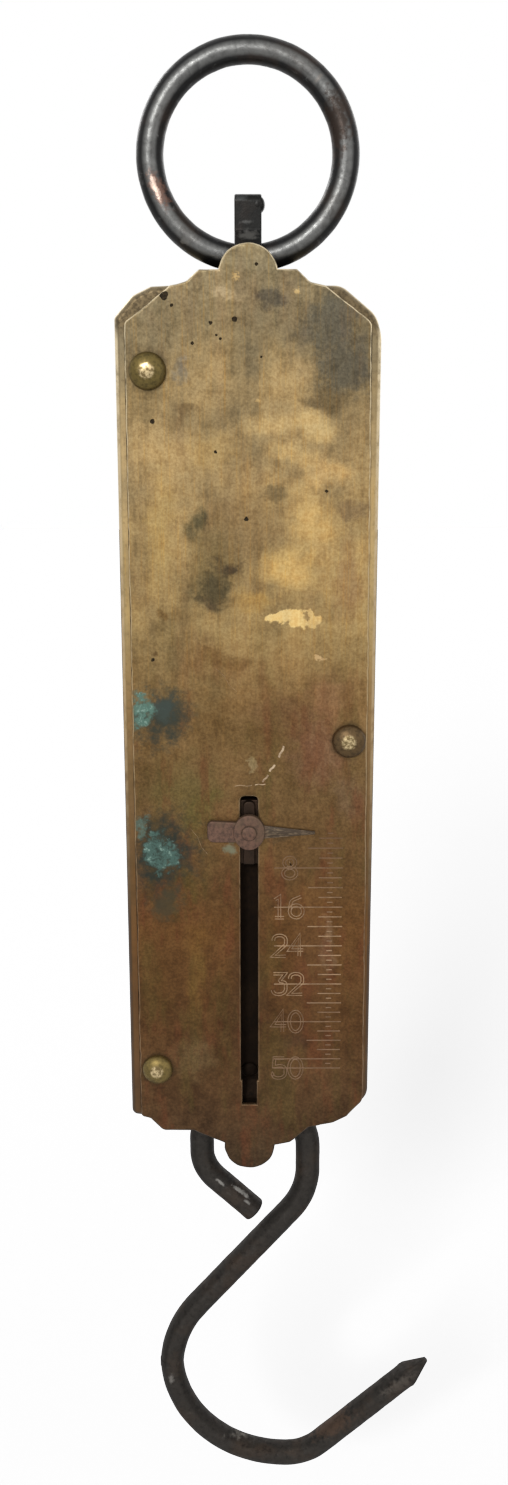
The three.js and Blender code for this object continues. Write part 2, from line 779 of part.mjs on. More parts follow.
// S-hook: a rod bent to its corners, drawn out to a point at the tip
function makeHook() {
  const flat = bend([
    { x: hookEndAcross, z: -hookEndDrop, radius: 0 },
    { x: -hookLoopLeft, z: -hookLoopTurnDrop, radius: hookLoopBend },
    { x: -hookLoopLeft, z: 0, radius: hookLoopBend },
    { x: hookLoopRight, z: 0, radius: hookShoulderBend },
    { x: hookLoopRight, z: -hookWaistDrop, radius: hookWaistBend },
    { x: -hookBowlLeft, z: -hookBowlStart, radius: hookBackBend },
    { x: -hookBowlLeft, z: -hookBowlDrop, radius: hookBowlBend },
    { x: hookBowlRight, z: -hookBowlDrop, radius: hookRiseBend },
    { x: hookTipAcross, z: -hookTipDrop, radius: 0 },
  ]);
  const tip = flat[flat.length - 1];
  const before = flat[flat.length - 2];
  const along = tip.clone().sub(before).normalize();
  const neck = tip.clone().addScaledVector(along, -hookPointLength);
  const line = [...flat.slice(0, -1), neck, tip];
  const points = line.map((point) => new THREE.Vector3(point.x, 0, hookEye + point.y));
  const radii = line.map((_, i) => (i === line.length - 1 ? hookPointSize : hookRod / 2));
  return sweep(points, radii, rodSides);
}

addPart('ring', makeRing(), iron);
addPart('front_plate', makePlate(), brass);
addPart('back_case', makeCase(), caseBrass);
for (const { name, x, z, head } of faceRivets) {
  addPart(`face_rivet_${name}`, flushRivet({
    x,
    z,
    shank: faceRivetShank,
    frontHead: head,
    frontRise: faceRivetDome,
    tail: faceRivetTail,
    front: face - seatGap,
  }), rivetBrass);
  const bore = faceRivetShank / 2 + pinGap;
  const spacerFront = plateBack + seatGap;
  const spacerBack = innerBack - seatGap;
  addPart(`spacer_${name}`, cut(
    rod(bore + spacerWall, x, z, spacerFront, spacerBack),
    [rod(bore, x, z, spacerFront - 1, spacerBack + 1)],
  ), caseBrass);
}
addPart('hanger_strap', makeHanger(), iron);
addPart('hanger_pin', rod(pinRadius, 0, hangerPin, plateBack + 3 * pinGap, innerBack - 3 * pinGap), steel);
addPart('hanger_bridge', makeBridge(), steel);
for (const place of bridgeRivetPlaces) addPart(place.name, bracketRivet(place), rivetBrass);
const springPoints = springLine();
addPart('main_spring', sweep(springPoints, springPoints.map(() => springWire / 2), 5), steel);
console.log(`main_spring least gap to itself ${leastGap(springPoints, springWire).toFixed(2)} mm`);
addPart('lower_guide', makeGuide(), steel);
for (const place of guideRivetPlaces) addPart(place.name, bracketRivet(place), rivetBrass);

addPart('draw_strap', makeDrawStrap(), iron);
addPart('spring_pin', rivet({
  x: 0,
  z: springPin,
  shank: pinDiameter,
  frontHead: pinDiameter + 1.6,
  frontRise: smallRivetRise,
  backHead: pinDiameter + 1.6,
  backRise: smallRivetRise,
  front: -legOuter - seatGap,
  back: legOuter + seatGap,
}), steel);
addPart('pointer_block', makePointerBlock(), iron);
addPart('pointer', makePointer(), copper);
addPart('pointer_rivet', rivet({
  x: 0,
  z: pointerLevel,
  shank: pointerRivetShank,
  frontHead: pointerRivetHead,
  frontRise: 0.7,
  backHead: smallRivetHead,
  backRise: smallRivetRise,
  front: pointerFront - seatGap,
  back: legOuter + seatGap,
}), copper);
addPart('block_rivet', rivet({
  x: 0,
  z: pointerLevel - blockRivetDrop,
  shank: pointerRivetShank,
  frontHead: pointerRivetShank + 1.4,
  frontRise: 0.5,
  backHead: smallRivetHead,
  backRise: smallRivetRise,
  front: plateBack + runningGap + 2 - seatGap,
  back: legOuter + seatGap,
}), steel);
addPart('pointer_spacer', strapSpacer(pointerLevel, pointerRivetShank), steel);
addPart('block_spacer', strapSpacer(pointerLevel - blockRivetDrop, pointerRivetShank), steel);
addPart('neck_spacer', strapSpacer(hookEye + neckRivetRise, smallRivet), steel);
addPart('neck_rivet', rivet({
  x: 0,
  z: hookEye + neckRivetRise,
  shank: smallRivet,
  frontHead: smallRivetHead,
  frontRise: smallRivetRise,
  backHead: smallRivetHead,
  backRise: smallRivetRise,
  front: -legOuter - seatGap,
  back: legOuter + seatGap,
}), steel);
addPart('hook', makeHook(), iron);

export default balance;
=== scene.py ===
# The looks of a flat brass-faced spring balance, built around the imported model.
# Lengths are in millimetres until a mesh is made. +Z is up and the face looks towards -Y.
import json
import math

import bmesh
import bpy
from mathutils import Matrix, Vector, noise
from mathutils.geometry import tessellate_polygon

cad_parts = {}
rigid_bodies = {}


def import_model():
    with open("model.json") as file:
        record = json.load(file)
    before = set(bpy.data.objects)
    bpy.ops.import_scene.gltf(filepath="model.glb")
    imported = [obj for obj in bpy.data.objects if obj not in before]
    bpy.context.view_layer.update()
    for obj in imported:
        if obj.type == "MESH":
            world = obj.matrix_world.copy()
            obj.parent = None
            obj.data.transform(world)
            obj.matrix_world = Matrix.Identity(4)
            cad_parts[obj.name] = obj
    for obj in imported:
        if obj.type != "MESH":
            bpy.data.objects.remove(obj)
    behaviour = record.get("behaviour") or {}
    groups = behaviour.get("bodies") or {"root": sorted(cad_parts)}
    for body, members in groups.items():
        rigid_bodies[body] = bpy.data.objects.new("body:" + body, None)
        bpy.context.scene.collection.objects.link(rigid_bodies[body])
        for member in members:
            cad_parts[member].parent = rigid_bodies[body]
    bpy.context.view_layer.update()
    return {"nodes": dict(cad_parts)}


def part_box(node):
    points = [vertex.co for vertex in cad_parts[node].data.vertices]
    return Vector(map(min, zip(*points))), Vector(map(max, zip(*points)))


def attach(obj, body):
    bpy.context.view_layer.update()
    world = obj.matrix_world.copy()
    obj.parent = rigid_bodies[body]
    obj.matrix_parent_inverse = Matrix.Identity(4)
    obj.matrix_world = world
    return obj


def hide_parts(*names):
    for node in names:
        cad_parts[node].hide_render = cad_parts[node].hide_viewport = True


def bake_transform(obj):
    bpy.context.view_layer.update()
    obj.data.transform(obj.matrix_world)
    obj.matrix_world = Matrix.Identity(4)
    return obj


for leftover in list(bpy.data.objects):
    bpy.data.objects.remove(leftover)

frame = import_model()

MM = 0.001


def node_box(node):
    low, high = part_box(node)
    return low / MM, high / MM


plate_low, plate_high = node_box("front_plate")
case_low, case_high = node_box("back_case")
ring_low, ring_high = node_box("ring")
hook_low, hook_high = node_box("hook")
hanger_low, hanger_high = node_box("hanger_strap")
draw_low, draw_high = node_box("draw_strap")
block_low, block_high = node_box("pointer_block")
pointer_low, pointer_high = node_box("pointer")
spring_low, spring_high = node_box("main_spring")

# Face plate and case outline
TOP_KNOB_RADIUS = 6.8
TOP_KNOB_RISE = 9.4
LEDGE_RISE = 3.6
LEDGE_END = 11.1
SHOULDER_END = 17.7
PLATE_CHAMFER = 8
FOOT_KNOB_RADIUS = 6.6
FOOT_KNOB_DROP = 10.9
SHOULDER = plate_high.z - TOP_KNOB_RISE
FOOT = plate_low.z + FOOT_KNOB_DROP
FACE = plate_low.y
PLATE_BACK = plate_high.y
CASE_FRONT = case_low.y
CASE_BACK = case_high.y
HALF_PLATE = plate_high.x
HALF_BODY = case_high.x
CASE_WALL = 2.2
BACK_WALL = 1.5
INNER_BACK = CASE_BACK - BACK_WALL
TOP_OPENING = 25
FOOT_OPENING = 41

# Slot
SLOT_WIDTH = 4.4
SLOT_TOP = SHOULDER - 120
SLOT_BOTTOM = FOOT + 7.5
SLOT_NECK_WIDTH = 3.7
SLOT_NECK_HEIGHT = 6.8

# Scale beside the slot
SCALE_ZERO = -175.7
SCALE_LENGTH = 64.67
SCALE_POUNDS = 50
TICK_RIGHT = 23.3
TICK_AXIS = 20.1
NUMERAL_HEIGHT = 5.6
NUMERAL_LEFT = 5.9
NUMERAL_WIDTH = 3.3
NUMERAL_STEP = 4.2
LINE_WIDTH = 0.26
LINE_DEPTH = 0.16

# Round stock, straps and the hook
RING_WIRE = ring_high.y - ring_low.y
HOOK_ROD = hook_high.y - hook_low.y
STRAP_THICKNESS = 1.6
RING_CENTRE = (ring_low.z + ring_high.z) / 2
RING_EYE = ring_low.z + RING_WIRE / 2
HOOK_EYE = hook_high.z - HOOK_ROD / 2
POINTER_LEVEL = (pointer_low.z + pointer_high.z) / 2

FINE = math.radians(6)


# Plane outlines

def turn_about(point, centre, angle):
    return centre + Matrix.Rotation(angle, 2) @ (point - centre)


def bend(corners, closed=True, step=FINE):
    """A line through (x, z, radius) corners, each rounded to its radius."""
    points = []
    count = len(corners)
    for i, (x, z, radius) in enumerate(corners):
        here = Vector((x, z))
        if not radius or (not closed and i in (0, count - 1)):
            points.append(here)
            continue
        back = (Vector(corners[i - 1][:2]) - here).normalized()
        on = (Vector(corners[(i + 1) % count][:2]) - here).normalized()
        between = back.angle(on)
        start = here + back * radius / math.tan(between / 2)
        centre = here + (back + on).normalized() * radius / math.sin(between / 2)
        turn = math.copysign(math.pi - between, back.x * on.y - back.y * on.x)
        steps = max(2, math.ceil(abs(turn) / step))
        points += [turn_about(start, centre, -turn * s / steps) for s in range(steps + 1)]
    return [p for i, p in enumerate(points) if i == 0 or (p - points[i - 1]).length > 1e-3]


def knob_arc(radius, centre, start, end):
    steps = math.ceil((start - end) / FINE)
    angles = [start + (end - start) * i / steps for i in range(steps + 1)]
    return [(radius * math.cos(a), centre + radius * math.sin(a), 0) for a in angles]


def top_outline(left_corner, right_corner):
    ledge = SHOULDER + LEDGE_RISE
    centre = SHOULDER + TOP_KNOB_RISE - TOP_KNOB_RADIUS
    meeting = math.asin((ledge - centre) / TOP_KNOB_RADIUS)

    def side(sign):
        return [
            (sign * SHOULDER_END, SHOULDER, 0.8),
            (sign * (SHOULDER_END - 3.6), SHOULDER + 0.8, 2),
            (sign * LEDGE_END, ledge, 0.8),
        ]

    knob = knob_arc(TOP_KNOB_RADIUS, centre, math.pi - meeting, meeting)
    return left_corner + side(-1) + knob + side(1)[::-1] + right_corner


def foot_outline(left, right):
    centre = FOOT - FOOT_KNOB_DROP + FOOT_KNOB_RADIUS
    return [
        (right, FOOT + 8.8, 4.5),
        (HALF_BODY - 3.3, FOOT + 6.3, 1.5),
        (HALF_BODY - 5.4, FOOT + 4, 1.2),
        (HALF_BODY - 8.8, FOOT + 2.2, 3),
        (15.4, FOOT + 0.8, 1.5),
        (10.6, FOOT - 3.5, 1),
        *knob_arc(FOOT_KNOB_RADIUS, centre, 0, -math.pi),
        (-FOOT_KNOB_RADIUS, FOOT - 3.6, 0.3),
        (-14.6, FOOT, 2),
        (8 - HALF_BODY, FOOT, 2),
        (4.7 - HALF_BODY, FOOT + 3.4, 0.8),
        (-left, FOOT + 4, 1.5),
    ]


def worn_line(loop, amount, step=1.5):
    """A closed line with points at least every step, and small dents and swells."""
    points = []
    for i, here in enumerate(loop):
        start = loop[i - 1]
        parts = max(1, round((here - start).length / step))
        points += [start.lerp(here, k / parts) for k in range(parts)]
    worn = []
    for i, here in enumerate(points):
        along = (points[(i + 1) % len(points)] - points[i - 1]).normalized()
        inward = Vector((along.y, -along.x))
        place = Vector((here.x, here.y, 0))
        depth = amount * (0.5 + 0.5 * noise.noise(place * 0.45) + 0.5 * noise.noise(place * 0.12))
        worn.append(here + inward * max(0, depth))
    return worn


def clearance(point, loop):
    """Distance from a point to a closed line."""
    least = math.inf
    for i, end in enumerate(loop):
        start = loop[i - 1]
        along = end - start
        share = max(0, min(1, (point - start).dot(along) / along.length_squared))
        least = min(least, (point - start - along * share).length)
    return least


def shift(loop, distance):
    """A closed line moved to its right. Points that would cross a tight corner gather at it."""
    if not distance:
        return list(loop)
    count = len(loop)
    moved = []
    for i, here in enumerate(loop):
        before = (here - loop[i - 1]).normalized()
        after = (loop[(i + 1) % count] - here).normalized()
        right = Vector((before.y + after.y, -before.x - after.x)).normalized()
        lean = max(0.3, right.dot(Vector((before.y, -before.x))))
        moved.append(here + right * distance / lean)
    good = [clearance(p, loop) > abs(distance) * 0.97 for p in moved]
    first = good.index(True)
    kept = moved[first]
    for k in range(count):
        i = (first + k) % count
        if good[i]:
            kept = moved[i]
        else:
            moved[i] = kept
    return moved


# Mesh helpers

def loft(bm, rows):
    """Faces between closed rows of points that have as many points each."""
    made = [[bm.verts.new(p) for p in row] for row in rows]
    for low, high in zip(made, made[1:]):
        for i in range(len(low)):
            corners = (low[i - 1], low[i], high[i], high[i - 1])
            bm.faces.new(corners)
    return made


def cap(bm, loops):
    """A flat face with holes over rows of vertices."""
    flat = [v for loop in loops for v in loop]
    for triangle in tessellate_polygon([[v.co for v in loop] for loop in loops]):
        corners = {flat[i] for i in triangle}
        if len(corners) == 3:
            bm.faces.new([flat[i] for i in triangle])


def slab(loops, front, back, round_front, round_back, steps=4):
    """A plate with rounded edges. The first loop runs clockwise, and its holes the other way."""
    stations = []
    for k in range(steps + 1):
        angle = math.pi / 2 * k / steps
        stations.append((round_front * (1 - math.sin(angle)), front + round_front * (1 - math.cos(angle))))
    for k in reversed(range(steps + 1)):
        angle = math.pi / 2 * k / steps
        stations.append((round_back * (1 - math.sin(angle)), back - round_back * (1 - math.cos(angle))))
    bm = bmesh.new()
    ends = []
    for loop in loops:
        rows = [[Vector((p.x, y, p.y)) for p in shift(loop, inward)] for inward, y in stations]
        ends.append(loft(bm, rows))
    cap(bm, [rows[0] for rows in ends])
    cap(bm, [rows[-1] for rows in ends])
    return bm


def block(low, high):
    bm = bmesh.new()
    bmesh.ops.create_cube(bm, size=1)
    middle = (Vector(low) + Vector(high)) / 2
    size = Vector(high) - Vector(low)
    bmesh.ops.transform(bm, matrix=Matrix.LocRotScale(middle, None, size), verts=bm.verts)
    return bm


def turned(profile, x, z, sides=64, squash=1.0):
    """A round piece about a Y axis from (radius, depth) pairs, closed on the axis at both ends."""
    bm = bmesh.new()
    rows = []
    for radius, depth in profile:
        angles = [2 * math.pi * s / sides for s in range(sides)]
        rows.append([Vector((x + radius * math.cos(a), depth, z + squash * radius * math.sin(a))) for a in angles])
    loft(bm, rows)
    return bm


def peg(radius, x, z, front, back, sides=48):
    return turned([(0, front), (radius, front), (radius, back), (0, back)], x, z, sides)


def resample(points, spacing):
    """Points at even steps along a line."""
    lengths = [0]
    for before, here in zip(points, points[1:]):
        lengths.append(lengths[-1] + (here - before).length)
    steps = max(1, round(lengths[-1] / spacing))
    out = []
    segment = 0
    for k in range(steps + 1):
        along = lengths[-1] * k / steps
        while segment < len(points) - 2 and lengths[segment + 1] < along:
            segment += 1
        span = lengths[segment + 1] - lengths[segment]
        out.append(points[segment].lerp(points[segment + 1], (along - lengths[segment]) / span))
    return out


def tube(points, section, closed=False):
    """A rod along points in the X-Z plane. section(i, along) gives its outline as (side, depth) pairs."""
    bm = bmesh.new()
    rows = []
    count = len(points)
    for i, here in enumerate(points):
        before = points[i - 1] if i or closed else here
        after = points[(i + 1) % count] if i + 1 < count or closed else here
        heading = (after - before).normalized()
        side = Vector((heading.y, 0, -heading.x))
        place = Vector((here.x, 0, here.y))
        rows.append([place + side * across + Vector((0, depth, 0)) for across, depth in section(i, here)])
    made = loft(bm, rows + rows[:1] if closed else rows)
    if not closed:
        bm.faces.new(made[0])
        bm.faces.new(made[-1])
    return bm


def finish_mesh(bm, name, smooth_angle=35):
    bmesh.ops.remove_doubles(bm, verts=bm.verts, dist=1e-4)
    bmesh.ops.dissolve_degenerate(bm, edges=bm.edges, dist=1e-5)
    bmesh.ops.recalc_face_normals(bm, faces=bm.faces)
    bmesh.ops.scale(bm, vec=(MM, MM, MM), verts=bm.verts)
    mesh = bpy.data.meshes.new(name)
    bm.to_mesh(mesh)
    bm.free()
    mesh.shade_smooth()
    mesh.set_sharp_from_angle(angle=math.radians(smooth_angle))
    return mesh


def new_piece(bm, name, materials, smooth_angle=35):
    mesh = finish_mesh(bm, name, smooth_angle)
    for material in materials:
        mesh.materials.append(material)
    piece = bpy.data.objects.new(name, mesh)
    bpy.context.scene.collection.objects.link(piece)
    return piece


def bake_modifiers(piece, smooth_angle=35):
    """The piece keeps what its modifiers make."""
    bpy.context.view_layer.update()
    evaluated = piece.evaluated_get(bpy.context.evaluated_depsgraph_get())
    mesh = bpy.data.meshes.new_from_object(evaluated)
    piece.modifiers.clear()
    piece.data = mesh
    mesh.shade_smooth()
    mesh.set_sharp_from_angle(angle=math.radians(smooth_angle))


def join(piece, others, smooth_angle=35):
    """Melts the others into the piece."""
    for other in others:
        modifier = piece.modifiers.new("join", "BOOLEAN")
        modifier.operation = "UNION"
        modifier.solver = "EXACT"
        modifier.object = other
    bake_modifiers(piece, smooth_angle)
    for other in others:
        bpy.data.objects.remove(other)


def add_shell(piece, other):
    """Puts the other's surface into the piece as it is."""
    bm = bmesh.new()
    bm.from_mesh(piece.data)
    bm.from_mesh(other.data)
    bm.to_mesh(piece.data)
    bm.free()
    bpy.data.objects.remove(other)


def use_material(piece, index):
    for polygon in piece.data.polygons:
        polygon.material_index = index


def carve(piece, cutters, overlapping=False):
    """Cuts the cutters out of the piece and removes them."""
    for cutter in cutters:
        modifier = piece.modifiers.new("cut", "BOOLEAN")
        modifier.operation = "DIFFERENCE"
        modifier.solver = "EXACT"
        modifier.use_self = overlapping
        modifier.object = cutter
    bake_modifiers(piece)
    for cutter in cutters:
        bpy.data.objects.remove(cutter)


def dress(piece, body, slot, *nodes):
    even = piece.modifiers.new("even_shading", "WEIGHTED_NORMAL")
    even.keep_sharp = True
    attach(piece, body)
    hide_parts(*nodes)
    return piece


class Rivet:
    def __init__(self, name, dome):
        self.name = name
        self.dome = dome
        low, high = node_box(f"face_rivet_{name}")
        self.x = (low.x + high.x) / 2
        self.z = (low.z + high.z) / 2
        self.head = (high.x - low.x) / 2
        self.front = low.y
        self.back = high.y


RIVETS = [
    Rivet("top", (112, 96, 54)),
    Rivet("middle", (98, 78, 52)),
    Rivet("bottom", (124, 106, 62)),
]
RIVET_SHANK = 1.6
RIVET_TAIL = 2.6
SINK_DEPTH = 1
RIVET_GAP = 0.3


# Materials

def tone(red, green, blue):
    """A colour as it shows on a screen, 0 to 255, in the renderer's own values."""
    def linear(value):
        share = value / 255
        return share / 12.92 if share <= 0.04045 else ((share + 0.055) / 1.055) ** 2.4

    return (linear(red), linear(green), linear(blue), 1)


class Paint:
    """A node material built up one step at a time. Places are in millimetres in the row frame."""

    def __init__(self, name):
        self.material = bpy.data.materials.new(name)
        self.material.use_nodes = True
        self.tree = self.material.node_tree
        self.tree.nodes.clear()
        self.output = self.tree.nodes.new("ShaderNodeOutputMaterial")
        self.shader = self.tree.nodes.new("ShaderNodeBsdfPrincipled")
        self.tree.links.new(self.shader.outputs[0], self.output.inputs[0])
        coordinates = self.tree.nodes.new("ShaderNodeTexCoord")
        self.place = self.vector("MULTIPLY", coordinates.outputs["Object"], (1 / MM,) * 3)
        self.facing = coordinates.outputs["Normal"]
        self.bumps = []

    def node(self, kind, inputs, **settings):
        node = self.tree.nodes.new(kind)
        for key, value in settings.items():
            setattr(node, key, value)
        for key, value in inputs.items():
            if isinstance(value, bpy.types.NodeSocket):
                self.tree.links.new(value, node.inputs[key])
            else:
                node.inputs[key].default_value = value
        return node

    def vector(self, operation, a, b):
        return self.node("ShaderNodeVectorMath", {0: a, 1: b}, operation=operation).outputs[0]

    def math(self, operation, a, b=0.0):
        return self.node("ShaderNodeMath", {0: a, 1: b}, operation=operation).outputs[0]

    def noise(self, size, detail=4.0, rough=0.55, stretch=(1, 1, 1), at=(0, 0, 0), distort=0.0):
        """A noise whose features are about size millimetres across, longer along a stretched axis."""
        scale = tuple(1 / (size * s) for s in stretch)
        place = self.vector("MULTIPLY", self.vector("ADD", self.place, at), scale)
        inputs = {"Vector": place, "Scale": 1.0, "Detail": detail, "Roughness": rough, "Distortion": distort}
        return self.node("ShaderNodeTexNoise", inputs).outputs["Fac"]

    def warped(self, place, size, reach):
        """A place pushed about by a noise, so that what is drawn there gets an uneven outline."""
        inputs = {"Vector": self.place, "Scale": 1 / size, "Detail": 5.0, "Roughness": 0.6}
        push = self.node("ShaderNodeTexNoise", inputs).outputs["Color"]
        push = self.vector("SUBTRACT", push, (0.5, 0.5, 0.5))
        return self.vector("ADD", place, self.vector("MULTIPLY", push, (reach, 0, reach)))

    def axis(self, value, index):
        """One of the three numbers of a place or a direction."""
        return self.node("ShaderNodeSeparateXYZ", {0: value}).outputs[index]

    def levels(self, height, stops):
        """A colour by height, from (height, colour) stops in rising order."""
        low = stops[0][0]
        high = stops[-1][0]
        share = self.node("ShaderNodeMapRange", {"Value": height, "From Min": low, "From Max": high}).outputs[0]
        node = self.node("ShaderNodeValToRGB", {0: share})
        ramp = node.color_ramp
        while len(ramp.elements) < len(stops):
            ramp.elements.new(0.5)
        for element, (place, shade) in zip(ramp.elements, stops):
            element.position = (place - low) / (high - low)
            element.color = tone(*shade)
        return node.outputs[0]

    def spread(self, value, low, high, to_low=0.0, to_high=1.0):
        """A value moved smoothly from one range to another."""
        inputs = {"Value": value, "From Min": low, "From Max": high, "To Min": to_low, "To Max": to_high}
        return self.node("ShaderNodeMapRange", inputs, interpolation_type="SMOOTHSTEP").outputs[0]

    def mix(self, share, a, b, blend="MIX"):
        node = self.tree.nodes.new("ShaderNodeMix")
        node.data_type = "RGBA"
        node.blend_type = blend
        for index, value in ((0, share), (6, a), (7, b)):
            if isinstance(value, bpy.types.NodeSocket):
                self.tree.links.new(value, node.inputs[index])
            else:
                node.inputs[index].default_value = value
        return node.outputs[2]

    def patch(self, place, middle, size, ragged, soft=0.5, turn=0.0, rough=None):
        """A spot with a ragged soft edge: 1 in its middle and 0 outside."""
        inputs = {"Vector": place, "Location": middle, "Rotation": (0, math.radians(turn), 0), "Scale": size}
        local = self.node("ShaderNodeMapping", inputs, vector_type="TEXTURE").outputs[0]
        distance = self.node("ShaderNodeVectorMath", {0: local}, operation="LENGTH").outputs["Value"]
        if rough is not None:
            distance = self.math("ADD", distance, self.math("MULTIPLY", rough, ragged))
        return self.spread(distance, 1.0, 1.0 - soft)

    def bump(self, height, strength, depth=0.05):
        self.bumps.append((height, strength, depth))

    def set(self, **values):
        names = {"colour": "Base Color", "metal": "Metallic", "rough": "Roughness", "specular": "Specular IOR Level",
                 "coat": "Coat Weight", "coat_rough": "Coat Roughness"}
        for key, value in values.items():
            socket = self.shader.inputs[names[key]]
            if isinstance(value, bpy.types.NodeSocket):
                self.tree.links.new(value, socket)
            else:
                socket.default_value = value
        return self

    def done(self):
        normal = None
        for height, strength, depth in self.bumps:
            inputs = {"Height": height, "Strength": strength, "Distance": depth * MM}
            if normal is not None:
                inputs["Normal"] = normal
            normal = self.node("ShaderNodeBump", inputs).outputs[0]
        if normal is not None:
            self.tree.links.new(normal, self.shader.inputs["Normal"])
        return self.material


# Marks on the ring and the hook, as on the face, and a painted highlight on the ring
RING_SPOTS = [
    (20, -12, 5, 12, 10, (58, 48, 42), 0.9, 0.8),
    # The next two rows are a painted highlight on the ring's lower left: a brown halo round a bright core
    (-20.2, -26.5, 2, 5.5, -28, (120, 88, 74), 0.75, 0.7),
    (-21, -26, 0.9, 3.6, -24, (222, 196, 180), 0.9, 0.7),
    (15.6, -3.4, 1.6, 0.7, -45, (124, 118, 112), 0.6, 0.7),
    (-14.2, -37.8, 1.6, 1, 30, (112, 110, 106), 0.6, 0.7),
]
STRAP_SPOTS = [
    (0, -36.4, 3, 1.4, 0, (104, 102, 98), 0.8, 0.7),
    (-0.4, -33.4, 2, 0.5, 0, (88, 88, 86), 0.5, 0.8),
    (-1.6, -28.2, 1.8, 0.8, 0, (80, 82, 82), 0.6, 0.8),
]
HOOK_SPOTS = [
    (-7.8, -277.2, 2, 0.5, 40, (150, 147, 142), 0.85, 0.6),
    (-2.4, -280.4, 3.4, 0.5, 40, (150, 147, 142), 0.85, 0.6),
    (-1, -283, 1.6, 0.5, 40, (150, 147, 142), 0.7, 0.6),
    (1.2, -358.9, 8, 1.1, 12, (120, 115, 108), 0.75, 0.9),
    (22, -354, 9, 4, -30, (84, 66, 54), 0.6, 0.7),
    (-21.9, -338, 1, 2, 10, (146, 142, 136), 0.6, 0.8),
    (41.5, -340, 7, 2, -38, (100, 93, 86), 0.45, 0.8),
]


def iron_paint(name, base, rust, worn, worn_share=0.4, gloss=0.4, crest=0.0, spots=()):
    """Dark worn wrought iron with brown tints, rubbed high spots, a painted highlight along the crests that face
    front and back, and marks of its own.
    """
    paint = Paint(name)
    flat = paint.vector("MULTIPLY", paint.place, (1, 0, 1))
    broad = paint.noise(9, detail=5)
    fine = paint.noise(1.3, detail=6, rough=0.68, at=(31, 7, 3))
    scuff = paint.noise(2.2, detail=7, rough=0.72, at=(5, 40, 11), distort=0.6)
    colour = paint.mix(paint.spread(broad, 0.46, 0.68), tone(*base), tone(*rust))
    colour = paint.mix(paint.spread(fine, 0.48, 0.72, 0, 0.6), colour, tone(30, 28, 27))
    colour = paint.mix(paint.spread(scuff, 0.58, 0.72, 0, worn_share), colour, tone(*worn))
    # Wear and a painted highlight in the worn colour, along the crests that face front and back, as strong as crest
    across = paint.math("ABSOLUTE", paint.axis(paint.facing, 1))
    crest_wear_and_highlight = paint.math("MULTIPLY", paint.spread(across, 0.8, 0.99, 0, crest), paint.spread(scuff, 0.3, 0.6, 0.5))
    colour = paint.mix(crest_wear_and_highlight, colour, tone(*worn))
    ragged = paint.math("SUBTRACT", fine, 0.5)
    for x, z, wide, tall, turn, shade, strength, soft in spots:
        spot = paint.patch(flat, (x, 0, z), (wide, 1, tall), 2.4, soft, turn, ragged)
        colour = paint.mix(paint.math("MULTIPLY", spot, strength), colour, tone(*shade))
    paint.bump(paint.noise(0.7, detail=5, rough=0.7), 0.35, 0.1)
    paint.bump(scuff, 0.3, 0.12)
    paint.bump(broad, 0.25, 0.4)
    paint.set(colour=colour, metal=0.8, rough=paint.spread(fine, 0.3, 0.75, gloss, gloss + 0.2), specular=0.2)
    return paint


def steel_paint(name, base=(88, 84, 80)):
    """Dull oiled steel of the inner parts."""
    paint = Paint(name)
    grime = paint.noise(3.2, detail=6, rough=0.62)
    fine = paint.noise(0.6, detail=4, at=(9, 2, 7))
    colour = paint.mix(paint.spread(grime, 0.4, 0.7, 0, 0.8), tone(*base), tone(58, 48, 40))
    paint.bump(fine, 0.2, 0.05)
    paint.set(colour=colour, metal=0.9, rough=paint.spread(grime, 0.3, 0.7, 0.36, 0.6))
    return paint


# The brass by height: where it is rubbed and where it is dull
RUBBED_BRASS = [
    (-270, (92, 74, 54)),
    (-255, (110, 82, 55)),
    (-230, (114, 82, 50)),
    (-205, (120, 85, 49)),
    (-185, (124, 94, 60)),
    (-165, (134, 106, 70)),
    (-145, (154, 124, 82)),
    (-125, (192, 164, 112)),
    (-90, (182, 156, 110)),
    (-66, (150, 130, 93)),
    (-40, (142, 130, 103)),
]
DULL_BRASS = [
    (-270, (56, 45, 34)),
    (-255, (70, 52, 36)),
    (-230, (72, 49, 30)),
    (-205, (78, 52, 28)),
    (-185, (84, 65, 39)),
    (-165, (96, 75, 45)),
    (-145, (102, 79, 46)),
    (-125, (122, 104, 72)),
    (-90, (128, 111, 81)),
    (-66, (106, 96, 75)),
    (-40, (106, 96, 74)),
]
